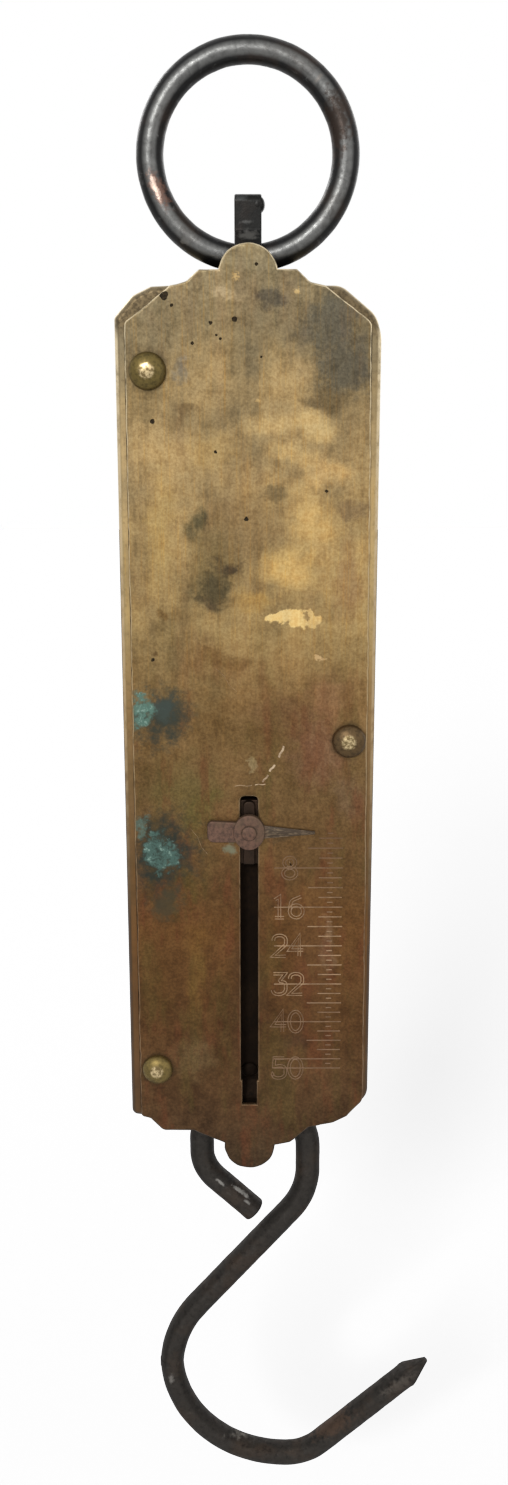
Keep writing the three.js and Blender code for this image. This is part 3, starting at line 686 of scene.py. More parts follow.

# Stains on the face, and a painted shadow with dirt under the pointer's arm: place across and up, half width, half
# height, turn, colour, strength, softness
FACE_STAINS_AND_SHADOW = [
    (19.5, -55.5, 11, 8, -40, (92, 88, 76), 0.9, 0.7),
    (22, -65, 9.5, 9.5, 0, (92, 87, 75), 0.9, 0.65),
    (18, -73, 8.5, 3.6, 0, (104, 90, 66), 0.85, 0.7),
    (5, -49.6, 6.5, 3.4, 0, (84, 78, 66), 0.9, 0.7),
    (-6, -49.8, 4.2, 1.8, 0, (164, 148, 118), 0.6, 0.7),
    (-15.4, -66.3, 2.6, 2.6, 0, (116, 112, 102), 0.7, 0.8),
    (-14, -75, 5.2, 2.8, 0, (110, 91, 62), 0.75, 0.7),
    (-24, -73, 6, 7, 0, (116, 100, 70), 0.6, 0.7),
    (-14, -55, 12, 7, 0, (118, 106, 80), 0.5, 0.8),
    (7, -67, 6, 9, 0, (180, 155, 110), 0.55, 0.9),
    (13.4, -66.6, 4.4, 3.8, 0, (168, 146, 106), 0.6, 0.8),
    (15, -78.4, 7, 4.4, 0, (210, 184, 132), 0.65, 0.9),
    (4, -78.5, 10, 5, 0, (200, 174, 124), 0.65, 0.95),
    (12, -85, 10, 4, 0, (200, 172, 120), 0.65, 0.9),
    (-9, -84, 11, 5, 0, (176, 150, 101), 0.5, 0.8),
    (19, -89, 8, 5, 0, (200, 170, 118), 0.75, 0.8),
    (6.5, -93, 6, 2.6, -10, (108, 93, 66), 0.75, 0.7),
    (-2, -101, 14, 11, 0, (140, 117, 82), 0.7, 0.8),
    (24.4, -98, 5, 4, 0, (130, 109, 81), 0.75, 0.6),
    (-9, -110, 7.5, 14, 6, (112, 98, 66), 0.6, 0.9),
    (-11.6, -101, 3.8, 5.8, 8, (86, 80, 58), 0.9, 0.8),
    (-4.8, -110.8, 5, 3, 0, (70, 59, 47), 0.9, 0.85),
    (-8.4, -116, 5.6, 6.4, 15, (82, 74, 54), 0.9, 0.8),
    (-9.6, -119.6, 3.4, 3, 0, (72, 63, 50), 0.65, 0.85),
    (-21, -103, 5, 20, 0, (176, 150, 96), 0.5, 0.9),
    (15, -101, 7.5, 14, -8, (222, 188, 124), 0.6, 0.95),
    (10, -112.5, 10, 8.5, 35, (224, 190, 124), 0.7, 0.95),
    (1.5, -119.5, 6, 3.6, 15, (184, 152, 92), 0.7, 0.9),
    (9.4, -123.6, 4.6, 1.9, 4, (230, 202, 142), 0.95, 0.3),
    (15.2, -123.6, 3.4, 1.7, -20, (226, 196, 136), 0.9, 0.3),
    (16.6, -132, 1.5, 0.9, 0, (206, 176, 132), 0.8, 0.5),
    (23, -114, 5, 14, 0, (150, 120, 86), 0.6, 0.8),
    (-21, -123.8, 2.4, 2, 0, (112, 86, 50), 0.7, 0.7),
    (-22.6, -132, 1.6, 1.6, 0, (92, 70, 42), 0.8, 0.6),
    (-6, -133.4, 11, 3.6, 0, (116, 89, 52), 0.6, 0.8),
    (10, -147, 14, 7.5, 0, (118, 88, 60), 0.7, 0.8),
    (20, -143, 8, 8, 0, (150, 113, 82), 0.6, 0.8),
    (17, -156, 10, 12, 0, (136, 104, 80), 0.7, 0.8),
    (24, -168, 6, 8, 0, (126, 102, 78), 0.6, 0.8),
    (0.6, -159.6, 1.7, 2.7, -15, (156, 138, 102), 0.75, 0.4),
    (-15, -166, 13, 12, 0, (108, 97, 58), 0.7, 0.95),
    (-11.4, -172, 5, 9.5, 20, (104, 95, 52), 0.8, 0.85),
    # A painted shadow, with dirt, under the pointer's long arm
    (8, -178.2, 8, 1.3, -4, (84, 68, 48), 0.6, 0.8),
    (-16.5, -191, 4, 11, 0, (92, 81, 42), 0.6, 0.7),
    (0, -222, 7, 34, 0, (84, 60, 39), 0.6, 0.6),
    (-13.5, -212, 4, 18, 0, (126, 92, 50), 0.65, 0.8),
    (-14, -237, 7.5, 9, 0, (116, 96, 66), 0.75, 0.8),
    (16, -212, 6, 22, 0, (112, 81, 52), 0.6, 0.7),
    (19.8, -205, 2.2, 10, 0, (146, 118, 90), 0.6, 0.9),
    (-23, -216, 5, 20, 0, (96, 68, 38), 0.5, 0.8),
    (12, -233, 6, 4, 0, (80, 58, 44), 0.6, 0.8),
]
GOLD_FLECKS = [(-2.6, -45.6, 1.1), (11.1, -48.8, 0.9), (2.3, -72.8, 0.6)]
PITS = [(-21.3, -48.5, 0.65), (-19.1, -49.6, 0.95), (-17.3, -51.8, 0.4), (-8.5, -55.7, 0.45), (-3.1, -54.9, 0.6),
        (-7.2, -58.4, 0.3), (-6.3, -59.2, 0.3), (-12.7, -60.1, 0.4), (3, -63.2, 0.28), (1.9, -43, 0.4),
        (-0.5, -99.9, 0.5), (-22.1, -77.6, 0.55), (-22.9, -133.4, 0.45), (-7.6, -84.5, 0.4), (18.2, -93.5, 0.4)]
# Green corrosion: place, half width, half height, turn and tint of each patch, darkest and widest first
VERDIGRIS = [
    (-22, -147.6, 11.5, 10, -30, (56, 60, 52), 0.95, 0.85),
    (-22.6, -145.6, 6, 4.4, -10, (66, 75, 70), 0.85, 0.8),
    (-26.2, -146, 3.2, 5.8, 12, (92, 122, 110), 0.95, 0.4),
    (-21.8, -182, 12, 14.5, 22, (46, 52, 47), 0.95, 0.85),
    (-20.5, -195.5, 5, 5.5, 0, (70, 66, 50), 0.7, 0.7),
    (-21.6, -182.2, 4.8, 5.8, -30, (80, 106, 98), 0.95, 0.35),
    (-26.4, -176, 2, 3.6, 15, (92, 116, 106), 0.7, 0.5),
    (-5.1, -181, 2.5, 2.4, 0, (124, 128, 106), 0.75, 0.7),
]


def height_of(paint):
    return paint.axis(paint.place, 2)


def brass_ground(paint, dull_share):
    """The brass's colour by height, rubbed here and dull there, with brushing and fine mottle."""
    height = height_of(paint)
    broad = paint.noise(17, detail=6, rough=0.55, at=(12, 0, 4))
    drift = paint.math("MULTIPLY", paint.math("SUBTRACT", broad, 0.5), 34)
    level = paint.math("ADD", height, drift)
    streaks = paint.noise(6, detail=6, rough=0.6, stretch=(1, 1, 3.5), at=(41, 0, 17))
    mottle = paint.noise(3.2, detail=8, rough=0.62, at=(70, 0, 9))
    mixed = paint.math("ADD", paint.math("MULTIPLY", broad, 0.5), paint.math("MULTIPLY", mottle, 0.18))
    mixed = paint.math("ADD", mixed, paint.math("MULTIPLY", streaks, 0.32))
    share = paint.spread(mixed, 0.5 - 0.2 - dull_share, 0.5 + 0.2 - dull_share)
    return paint.mix(share, paint.levels(level, RUBBED_BRASS), paint.levels(level, DULL_BRASS)), mottle


def rubbed_edges(paint, colour, dark=(70, 56, 42), low=(148, 120, 90)):
    """Painted highlight and rubbing on the rounded edges: they are paler than the flats, more so above."""
    across = paint.math("ABSOLUTE", paint.axis(paint.facing, 1))
    turn = paint.spread(across, 0.97, 0.8)
    patchy = paint.spread(paint.noise(3, detail=5, rough=0.65, at=(2, 9, 33)), 0.34, 0.56, 0.3, 1)
    height = height_of(paint)
    pale = paint.levels(height, [(-262, dark), (-240, low), (-200, low),
                                 (-150, (190, 164, 124)), (-60, (224, 206, 170))])
    return paint.mix(paint.math("MULTIPLY", turn, patchy), colour, pale)


def brass_face():
    """Old brass: golden above, brown below, with its stains, brushing and green spots."""
    paint = Paint("brass_face")
    flat = paint.vector("MULTIPLY", paint.place, (1, 0, 1))
    uneven = paint.warped(flat, 7, 11)
    ragged = paint.math("SUBTRACT", paint.noise(2.4, detail=8, rough=0.7), 0.5)
    colour, mottle = brass_ground(paint, 0.0)
    for x, z, wide, tall, turn, shade, strength, soft in FACE_STAINS_AND_SHADOW:
        spot = paint.patch(uneven, (x, 0, z), (wide, 1, tall), 2.6 * (1.15 - soft), soft, turn, ragged)
        colour = paint.mix(paint.math("MULTIPLY", spot, strength), colour, tone(*shade))
    grain = paint.noise(0.7, detail=5, rough=0.7, at=(4, 4, 4))
    for size, at, most, shade in ((5, 23, 0.5, (112, 66, 44)), (6.5, 61, 0.28, (98, 90, 48))):
        tint = paint.noise(size, detail=5, rough=0.6, stretch=(1, 1, 4), at=(at, 0, at))
        share = paint.math("MULTIPLY", paint.spread(tint, 0.5, 0.66, 0, most),
                           paint.spread(height_of(paint), -170, -110, 1, 0.2))
        colour = paint.mix(share, colour, tone(*shade))
    for x, z, radius in GOLD_FLECKS:
        spot = paint.patch(flat, (x, 0, z), (radius, 1, radius), 5, 0.8, 0, paint.math("SUBTRACT", grain, 0.5))
        colour = paint.mix(paint.math("MULTIPLY", spot, 0.7), colour, tone(204, 178, 128))

    brushing = paint.noise(0.32, detail=3, rough=0.6, stretch=(1, 1, 60), distort=0.15)
    colour = paint.mix(paint.spread(mottle, 0.38, 0.66, 0, 0.22), colour, tone(64, 52, 36), "SOFT_LIGHT")
    scratched = paint.spread(height_of(paint), -150, -120, 0.12, 0.5)
    scratches = paint.math("MULTIPLY", paint.spread(brushing, 0.54, 0.7), scratched)
    colour = paint.mix(scratches, colour, tone(214, 190, 146), "SOFT_LIGHT")
    combed = paint.noise(0.9, detail=6, rough=0.7, stretch=(1, 1, 14), at=(17, 0, 3))
    combing = paint.mix(paint.spread(combed, 0.36, 0.64), tone(104, 96, 84), tone(232, 220, 200))
    share = paint.math("MULTIPLY", paint.spread(height_of(paint), -180, -120, 0.06, 0.26),
                       paint.spread(mottle, 0.36, 0.62, 0.25, 1))
    colour = paint.mix(share, colour, combing, "SOFT_LIGHT")
    speckle = paint.mix(paint.spread(grain, 0.34, 0.66), tone(100, 96, 90), tone(222, 216, 206))
    colour = paint.mix(0.4, colour, speckle, "SOFT_LIGHT")

    crust = paint.noise(1.5, detail=6, rough=0.72, at=(90, 0, 2), distort=0.5)
    for x, z, wide, tall, turn, shade, strength, soft in VERDIGRIS:
        spot = paint.patch(uneven, (x, 0, z), (wide, 1, tall), 1.8, soft, turn, ragged)
        if shade[1] > 1.15 * shade[0]:
            spot = paint.math("MULTIPLY", spot, paint.spread(crust, 0.38, 0.52, 0.25, 1))
            colour = paint.mix(paint.math("MULTIPLY", spot, strength), colour, tone(*shade))
            grains = paint.math("MULTIPLY", spot, paint.spread(crust, 0.56, 0.64, 0, 0.8))
            colour = paint.mix(grains, colour, tone(140, 166, 154))
        else:
            colour = paint.mix(paint.math("MULTIPLY", spot, strength), colour, tone(*shade))

    for rivet in RIVETS:
        # A darker ring on the face round each rivet's foot
        wide = rivet.head + 1.3
        rivet_ring = paint.patch(flat, (rivet.x, 0, rivet.z), (wide, 1, wide), 0.5, 0.4, 0, ragged)
        colour = paint.mix(paint.math("MULTIPLY", rivet_ring, 0.85), colour, tone(62, 52, 34))
    # Painted highlight and rubbing on the plate's rounded edges
    colour = rubbed_edges(paint, colour)
    paint.bump(brushing, 0.1, 0.03)
    paint.bump(mottle, 0.2, 0.08)
    rough = paint.spread(mottle, 0.34, 0.66, 0.36, 0.54)
    paint.set(colour=colour, metal=0.8, rough=rough, specular=0.3)
    return paint.done()


def engraved_paint():
    """The bottoms of the engraved lines: paler than the brass, worn away at the scale's two ends."""
    paint = Paint("engraved_line")
    height = height_of(paint)
    fade = paint.levels(height, [(-246, (142, 114, 90)), (-236, (152, 124, 98)), (-226, (150, 122, 96)),
                                 (-216, (188, 160, 128)), (-202, (188, 160, 128)), (-192, (158, 130, 102)),
                                 (-184, (142, 114, 88)), (-176, (124, 96, 72))])
    wear = paint.noise(2.5, detail=5, rough=0.65)
    colour = paint.mix(paint.spread(wear, 0.42, 0.66, 0, 0.6), fade, tone(116, 90, 66))
    paint.set(colour=colour, metal=0.2, rough=0.6)
    return paint.done()


def scratch_paint():
    """Bare metal in the scratches."""
    paint = Paint("scratch")
    wear = paint.noise(1.2, detail=5, rough=0.65)
    colour = paint.mix(paint.spread(wear, 0.4, 0.6), tone(196, 172, 140), tone(150, 124, 96))
    paint.set(colour=colour, metal=0.3, rough=0.5)
    return paint.done()


def pit_paint():
    """Dark dirt in the corroded pits."""
    paint = Paint("corroded_pit")
    grime = paint.noise(0.4, detail=4)
    colour = paint.mix(paint.spread(grime, 0.4, 0.6), tone(62, 50, 32), tone(36, 29, 18))
    paint.set(colour=colour, metal=0.1, rough=0.8, specular=0.2)
    return paint.done()


def case_paint():
    """The case's brass: as the face's, duller, with a painted highlight and rubbing along its rounded edges."""
    paint = Paint("case_brass")
    colour, mottle = brass_ground(paint, -0.05)
    fine = paint.noise(1.2, detail=7, rough=0.7, at=(3, 50, 2))
    colour = paint.mix(paint.spread(fine, 0.46, 0.76, 0, 0.4), colour, tone(84, 68, 46))
    scuffs = paint.noise(1.4, detail=4, rough=0.6, stretch=(1, 1, 14), at=(7, 7, 7))
    colour = paint.mix(paint.spread(scuffs, 0.56, 0.74, 0, 0.5), colour, tone(206, 186, 146), "SOFT_LIGHT")
    # Painted highlight and rubbing on the case's rounded edges
    colour = rubbed_edges(paint, colour, low=(84, 66, 48))
    # The case's front face is darker at its shoulders
    to_front = paint.spread(paint.axis(paint.facing, 1), -0.3, -0.8)
    shoulders = paint.math("MULTIPLY", paint.spread(height_of(paint), SHOULDER - 13, SHOULDER - 8, 0, 0.85), to_front)
    shoulder_darkening = paint.mix(paint.spread(fine, 0.42, 0.62), tone(104, 88, 62), tone(66, 54, 36))
    colour = paint.mix(shoulders, colour, shoulder_darkening)
    paint.bump(fine, 0.15, 0.04)
    paint.bump(scuffs, 0.15, 0.04)
    paint.set(colour=colour, metal=0.8, rough=paint.spread(fine, 0.3, 0.7, 0.42, 0.56))
    return paint.done()


def inside_paint():
    """Painted shade and grime on the case's inner walls."""
    paint = Paint("case_inside_shade_and_grime")
    grime = paint.noise(4, detail=6, rough=0.65)
    colour = paint.mix(paint.spread(grime, 0.4, 0.65), tone(44, 32, 22), tone(26, 19, 13))
    paint.bump(grime, 0.2, 0.1)
    paint.set(colour=colour, metal=0.1, rough=0.8, specular=0.15)
    return paint.done()


def rivet_paint(rivet):
    """A brass dome, dark round its foot, with a painted highlight on its crown in bright and dull chips."""
    paint = Paint(f"rivet_brass_{rivet.name}")
    flat = paint.vector("MULTIPLY", paint.place, (1, 0, 1))
    fine = paint.noise(0.9, detail=6, rough=0.7)
    ragged = paint.math("SUBTRACT", fine, 0.5)
    wide = rivet.head * 0.5
    # Painted highlight on the crown
    crown_highlight = paint.patch(flat, (rivet.x - 0.15, 0, rivet.z + 0.15), (wide, wide, wide), 0.6, 0.35, 0, ragged)
    dark = [0.72 * part for part in rivet.dome]
    colour = paint.mix(paint.spread(fine, 0.4, 0.7), tone(*rivet.dome), tone(*dark))
    chipped = paint.spread(paint.noise(0.8, detail=5, rough=0.7, at=(0, 0, 60)), 0.42, 0.58)
    colour = paint.mix(crown_highlight, colour, paint.mix(chipped, tone(206, 184, 140), tone(118, 100, 66)))
    paint.bump(fine, 0.2, 0.05)
    paint.set(colour=colour, metal=0.85, rough=paint.spread(crown_highlight, 0, 1, 0.46, 0.34))
    return paint.done()


def copper_paint():
    """Dull pinkish brown of the pointer."""
    paint = Paint("pointer_copper")
    mottle = paint.noise(1.1, detail=6, rough=0.7)
    broad = paint.noise(6, detail=4, at=(8, 8, 8))
    colour = paint.mix(paint.spread(mottle, 0.4, 0.62), tone(110, 80, 64), tone(76, 54, 42))
    colour = paint.mix(paint.spread(broad, 0.45, 0.65, 0, 0.6), colour, tone(94, 74, 54))
    arm = paint.spread(paint.axis(paint.place, 0), 3.2, 5, 0, 0.95)
    streak = paint.spread(paint.noise(0.8, detail=5, rough=0.7, stretch=(4, 1, 1)), 0.46, 0.58)
    colour = paint.mix(arm, colour, paint.mix(streak, tone(66, 53, 38), tone(120, 102, 80)))
    across = paint.math("ABSOLUTE", paint.axis(paint.facing, 1))
    colour = paint.mix(paint.spread(across, 0.93, 0.6, 0, 0.6), colour, tone(62, 48, 34))
    paint.bump(mottle, 0.4, 0.12)
    paint.set(colour=colour, metal=0.3, rough=0.62)
    return paint.done()


# crest is the strength of the painted highlight along the front and back of the rod
ring_iron = iron_paint("ring_iron", (40, 40, 40), (54, 47, 43), (120, 120, 118), gloss=0.27, crest=0.8,
                       spots=RING_SPOTS).done()
strap_iron = iron_paint("strap_iron", (34, 34, 33), (44, 40, 37), (84, 84, 82), gloss=0.3, spots=STRAP_SPOTS).done()
hook_iron = iron_paint("hook_iron", (50, 47, 44), (60, 51, 44), (96, 91, 86), gloss=0.58, crest=0.2,
                       spots=HOOK_SPOTS).done()
bar_iron = iron_paint("bar_iron", (34, 25, 18), (42, 31, 22), (56, 44, 34), worn_share=0.3, gloss=0.6).done()
block_iron = iron_paint("block_iron", (50, 39, 31), (62, 47, 37), (96, 78, 66)).done()
inner_steel = steel_paint("inner_steel").done()
spring_steel = steel_paint("spring_steel", base=(70, 72, 78)).done()
face_brass = brass_face()
line_brass = engraved_paint()
scratched_brass = scratch_paint()
pit_dirt = pit_paint()
case_brass = case_paint()
case_inside_shade_and_grime = inside_paint()
pointer_copper = copper_paint()


# Pieces

CASE_CORNERS = [
    *top_outline(
        [
            (-HALF_BODY, SHOULDER - 7, 1.5),
            (4.2 - HALF_BODY, SHOULDER - 2.2, 4),
            (8.4 - HALF_BODY, SHOULDER - 0.2, 1.5),
        ],
        [
            (HALF_BODY - 9.3, SHOULDER, 5),
            (HALF_BODY - 1.2, SHOULDER - 6.6, 6),
            (HALF_BODY, SHOULDER - 11, 9),
        ],
    ),
    *foot_outline(HALF_BODY, HALF_BODY),
]
# The plate sits a little askew: its right edge comes closer to the case's edge at the foot
PLATE_LEAN = 1.2
PLATE_CORNERS = [
    *top_outline(
        [(-HALF_PLATE, SHOULDER - PLATE_CHAMFER, 2)],
        [(HALF_PLATE, SHOULDER - PLATE_CHAMFER, 2)],
    ),
    *foot_outline(HALF_PLATE, HALF_PLATE + PLATE_LEAN),
]


def circle(x, z, radius, steps=32):
    """Runs against the clock, as a hole does."""
    angles = [2 * math.pi * s / steps for s in range(steps)]
    return [Vector((x + radius * math.cos(a), z + radius * math.sin(a))) for a in angles]


def groove(bm, points, closed=False, width=LINE_WIDTH, depth=LINE_DEPTH):
    """A V-shaped cutter along a line on the face, standing a little proud of it."""
    proud = 0.1
    half = width / 2 * (1 + proud / depth)
    count = len(points)
    rows = []
    for i, here in enumerate(points):
        before = points[i - 1] if i or closed else here
        after = points[(i + 1) % count] if i + 1 < count or closed else here
        start = (here - before).normalized() if (here - before).length else (after - here).normalized()
        end = (after - here).normalized() if (after - here).length else start
        across = Vector((start.y + end.y, -start.x - end.x)).normalized()
        lean = max(0.5, across.dot(Vector((start.y, -start.x))))
        left = here + across * half / lean
        right = here - across * half / lean
        rows.append([
            Vector((left.x, FACE - proud, left.y)),
            Vector((right.x, FACE - proud, right.y)),
            Vector((here.x, FACE + depth, here.y)),
        ])
    made = loft(bm, rows + rows[:1] if closed else rows)
    if not closed:
        bm.faces.new(made[0])
        bm.faces.new(made[-1])


def scale_ticks(bm):
    for pound in range(1, SCALE_POUNDS + 1):
        z = SCALE_ZERO - SCALE_LENGTH * pound / SCALE_POUNDS
        if pound % 8 == 0 or pound == SCALE_POUNDS:
            left, right = 6.2, TICK_RIGHT
        elif pound % 4 == 0:
            left, right = 14.6, TICK_RIGHT
        elif pound % 2 == 0:
            left, right = 17.3, TICK_RIGHT - 0.2
        else:
            left, right = TICK_AXIS - 0.7, TICK_AXIS + 0.7
        groove(bm, [Vector((left, z)), Vector((right, z))])


def oval(x, z, wide, tall, steps=20):
    angles = [2 * math.pi * s / steps for s in range(steps)]
    return [Vector((x + wide * math.cos(a), z + tall * math.sin(a))) for a in angles]


# Numerals as centre lines in a box 1 wide and 2 tall, with a flag for a closed line
NUMERALS = {
    "0": [(oval(0.5, 1, 0.5, 1), True)],
    "1": [(bend([(0.15, 1.7, 0), (0.5, 2, 0), (0.5, 0, 0)], False), False),
          (bend([(0.15, 0, 0), (0.85, 0, 0)], False), False)],
    "2": [(bend([(0.05, 1.5, 0), (0.05, 2, 0.4), (1, 2, 0.45), (1, 1.15, 0.4), (0, 0, 0), (1, 0, 0)], False), False)],
    "3": [(bend([(0.05, 2, 0), (0.95, 2, 0), (0.5, 1.25, 0.1), (1, 1.2, 0.3), (1, 0, 0.5), (0, 0, 0.4),
                 (0, 0.4, 0)], False), False)],
    "4": [(bend([(0.75, 0, 0), (0.75, 2, 0), (0, 0.6, 0), (1.05, 0.6, 0)], False), False)],
    "5": [(bend([(0.9, 2, 0), (0.15, 2, 0), (0.1, 1.15, 0), (1, 1.3, 0.4), (1, 0, 0.5), (0, 0, 0.4),
                 (0, 0.35, 0)], False), False)],
    "6": [(bend([(0.85, 2, 0), (0.1, 1.6, 0.5), (0, 0.6, 0.2)], False), False), (oval(0.5, 0.6, 0.5, 0.6), True)],
    "8": [(oval(0.5, 1.5, 0.42, 0.48), True), (oval(0.5, 0.5, 0.5, 0.5), True)],
}
NUMERAL_STROKE = 0.34


def scale_numerals(bm):
    """Each numeral is cut as two thin lines, one on each side of its stroke."""
    for pound in (8, 16, 24, 32, 40, 50):
        z = SCALE_ZERO - SCALE_LENGTH * pound / SCALE_POUNDS - NUMERAL_HEIGHT / 2
        text = str(pound)
        left = NUMERAL_LEFT + (2 - len(text)) * NUMERAL_STEP * 0.6
        for place, digit in enumerate(text):
            for line, closed in NUMERALS[digit]:
                points = [
                    Vector((left + place * NUMERAL_STEP + p.x * NUMERAL_WIDTH, z + p.y * NUMERAL_HEIGHT / 2))
                    for p in line
                ]
                for side in (-1, 1):
                    beside = offset_line(points, side * NUMERAL_STROKE, closed)
                    groove(bm, beside, closed, width=0.2, depth=0.12)


def offset_line(points, distance, closed):
    count = len(points)
    moved = []
    for i, here in enumerate(points):
        before = points[i - 1] if i or closed else here
        after = points[(i + 1) % count] if i + 1 < count or closed else here
        start = (here - before).normalized() if (here - before).length else (after - here).normalized()
        end = (after - here).normalized() if (after - here).length else start
        across = Vector((start.y + end.y, -start.x - end.x)).normalized()
        lean = max(0.5, across.dot(Vector((start.y, -start.x))))
        moved.append(here + across * distance / lean)
    return moved


# Scratches on the face: their two ends and their width
SCRATCHES = [
    ((8.5, -154.8), (7.3, -157.7), 0.5),
    ((6.3, -159.5), (5, -161.2), 0.5),
    ((4.7, -162.1), (3.3, -163.9), 0.42),
    ((-3.5, -164.9), (0.7, -164.7), 0.14),
    ((1.5, -164.6), (4, -164.4), 0.2),
    ((-7.9, -135.6), (-2.9, -141.2), 0.08),
    ((-14.4, -175.8), (-10.3, -182.4), 0.08),
]


def scratches(bm):
    depth = 0.06
    for (x1, z1), (x2, z2), width in SCRATCHES:
        start = Vector((x1, z1))
        end = Vector((x2, z2))
        sway = Vector((z1 - z2, x2 - x1)) * 0.04
        groove(bm, [start, start.lerp(end, 0.35) + sway, start.lerp(end, 0.7) - sway, end], width=width, depth=depth)


def corroded_pits(bm):
    """Shallow bowls with ragged outlines."""
    depths = [(0.0, 0.3), (0.55, 0.24), (0.85, 0.1), (1.0, 0.0), (1.04, -0.1), (0.0, -0.1)]
    sides = 14
    for x, z, radius in PITS:
        rows = []
        for share, depth in depths:
            row = []
            for s in range(sides):
                angle = 2 * math.pi * s / sides
                place = Vector((x + math.cos(angle), z + math.sin(angle), 0))
                reach = radius * share * (1 + 0.5 * noise.noise(place))
                row.append(Vector((x + reach * math.cos(angle), FACE + depth, z + reach * math.sin(angle))))
            rows.append(row)
        loft(bm, rows)


def make_plate():
    slot = bend([
        (-SLOT_WIDTH / 2, SLOT_TOP, 1.2),
        (-SLOT_WIDTH / 2, SLOT_BOTTOM + SLOT_NECK_HEIGHT, 0),
        (-SLOT_NECK_WIDTH / 2, SLOT_BOTTOM + SLOT_NECK_HEIGHT, 0),
        (-SLOT_NECK_WIDTH / 2, SLOT_BOTTOM, 0),
        (SLOT_NECK_WIDTH / 2, SLOT_BOTTOM, 0),
        (SLOT_NECK_WIDTH / 2, SLOT_BOTTOM + SLOT_NECK_HEIGHT, 0),
        (SLOT_WIDTH / 2, SLOT_BOTTOM + SLOT_NECK_HEIGHT, 0),
        (SLOT_WIDTH / 2, SLOT_TOP, 1.2),
    ])
    holes = [circle(r.x, r.z, RIVET_SHANK + RIVET_GAP) for r in RIVETS]
    outline = worn_line(bend(PLATE_CORNERS), 0.3)
    bm = slab([outline, slot, *holes], FACE, PLATE_BACK, 0.5, 0.1)
    finishes = [face_brass, line_brass, pit_dirt, scratched_brass]
    plate = new_piece(bm, "brass_face_plate", finishes)
    for marks, finish in ((scale_ticks, 1), (scale_numerals, 1), (corroded_pits, 2), (scratches, 3)):
        cutter_mesh = bmesh.new()
        marks(cutter_mesh)
        cutter = new_piece(cutter_mesh, "marks", finishes)
        use_material(cutter, finish)
        carve(plate, [cutter], overlapping=True)
    return dress(plate, "case", "plate_brass", "front_plate")


def make_case():
    outline = bend(CASE_CORNERS)
    bm = slab([outline], CASE_FRONT, CASE_BACK, 1.4, 1.4, steps=6)
    # The second finish is painted shade and grime for the case's inner walls
    finishes = [case_brass, case_inside_shade_and_grime]
    case = new_piece(bm, "brass_case", finishes)
    half_inside = HALF_BODY - CASE_WALL
    inside = bend([
        (-half_inside, SHOULDER - 9.4, 1.5),
        (-half_inside + 7.2, SHOULDER - CASE_WALL - 0.2, 1.5),
        (half_inside - 8, SHOULDER - CASE_WALL, 1.5),
        (half_inside, SHOULDER - 10.2, 2),
        (half_inside, FOOT + 11, 1),
        (half_inside - 7, FOOT + 5.5, 1.5),
        (15.4, FOOT + 0.8 + CASE_WALL, 1),
        (8 - HALF_BODY, FOOT + CASE_WALL, 1),
        (-half_inside, FOOT + 5.8, 1),
    ])
    cavity = slab([inside], CASE_FRONT - 1, INNER_BACK, 0, 0, steps=1)
    top = block((-TOP_OPENING / 2, CASE_FRONT - 1, SHOULDER - 2 * CASE_WALL),
                (TOP_OPENING / 2, INNER_BACK, SHOULDER + 2 * TOP_KNOB_RISE))
    foot = block((-FOOT_OPENING / 2, CASE_FRONT - 1, FOOT - 2 * FOOT_KNOB_DROP),
                 (FOOT_OPENING / 2, INNER_BACK, FOOT + 5 * CASE_WALL))
    cutters = [new_piece(tool, "tool", finishes) for tool in (cavity, top, foot)]
    for cutter in cutters:
        use_material(cutter, 1)
    for rivet in RIVETS:
        sunk = turned([
            (0, INNER_BACK - 1),
            (RIVET_SHANK + RIVET_GAP, INNER_BACK - 1),
            (RIVET_SHANK + RIVET_GAP, CASE_BACK - SINK_DEPTH),
            (RIVET_TAIL + 0.05, CASE_BACK),
            (RIVET_TAIL + 0.05, CASE_BACK + 1),
            (0, CASE_BACK + 1),
        ], rivet.x, rivet.z, 40)
        cutters.append(new_piece(sunk, "tool", finishes))
    carve(case, cutters)
    return dress(case, "case", "case_brass", "back_case")


def make_rivet(rivet):
    foot_y = FACE - 0.02
    rise = foot_y - rivet.front
    profile = [(0, rivet.front)]
    steps = 14
    for k in range(1, steps + 1):
        angle = math.pi / 2 * k / steps
        profile.append((rivet.head * math.sin(angle), foot_y - rise * math.cos(angle) ** 0.85))
    profile += [
        (RIVET_SHANK, foot_y),
        (RIVET_SHANK, rivet.back - SINK_DEPTH),
        (RIVET_TAIL, rivet.back),
        (0, rivet.back),
    ]
    paint = rivet_paint(rivet)
    piece = new_piece(turned(profile, rivet.x, rivet.z), f"domed_rivet_{rivet.name}", [paint])
    return dress(piece, "case", "rivet_brass", f"face_rivet_{rivet.name}")


def make_ring():
    middle = (ring_high.x - ring_low.x - RING_WIRE) / 2
    steps = 220
    angles = [2 * math.pi * k / steps for k in range(steps)]
    line = [Vector((middle * math.cos(a), RING_CENTRE + middle * math.sin(a))) for a in angles]
    sides = 36

    def section(i, here):
        out = []
        for s in range(sides):
            angle = 2 * math.pi * s / sides
            place = Vector((here.x, here.y, 4 * s / sides))
            rough = 0.05 * noise.noise(place * 0.35) + 0.03 * noise.noise(place * 1.3)
            radius = RING_WIRE / 2 - 0.07 + rough
            out.append((radius * math.cos(angle), radius * math.sin(angle)))
        return out

    piece = new_piece(tube(line, section, closed=True), "iron_ring", [ring_iron], 60)
    return dress(piece, "ring", "iron", "ring")


HOOK_CORNERS = [
    (1.25, -32.65, 0),
    (-12.8, -19.3, 11.4),
    (-12.8, 0, 11.4),
    (15.5, 0, 13.6),
    (15.5, -27.1, 19),
    (-21.8, -70.3, 30),
    (-21.8, -110.05, 31.6),
    (15.6, -110.05, 14.4),
    (48.9, -79.6, 0),
]
HOOK_POINT_LENGTH = 8
HOOK_POINT_SIZE = 0.5


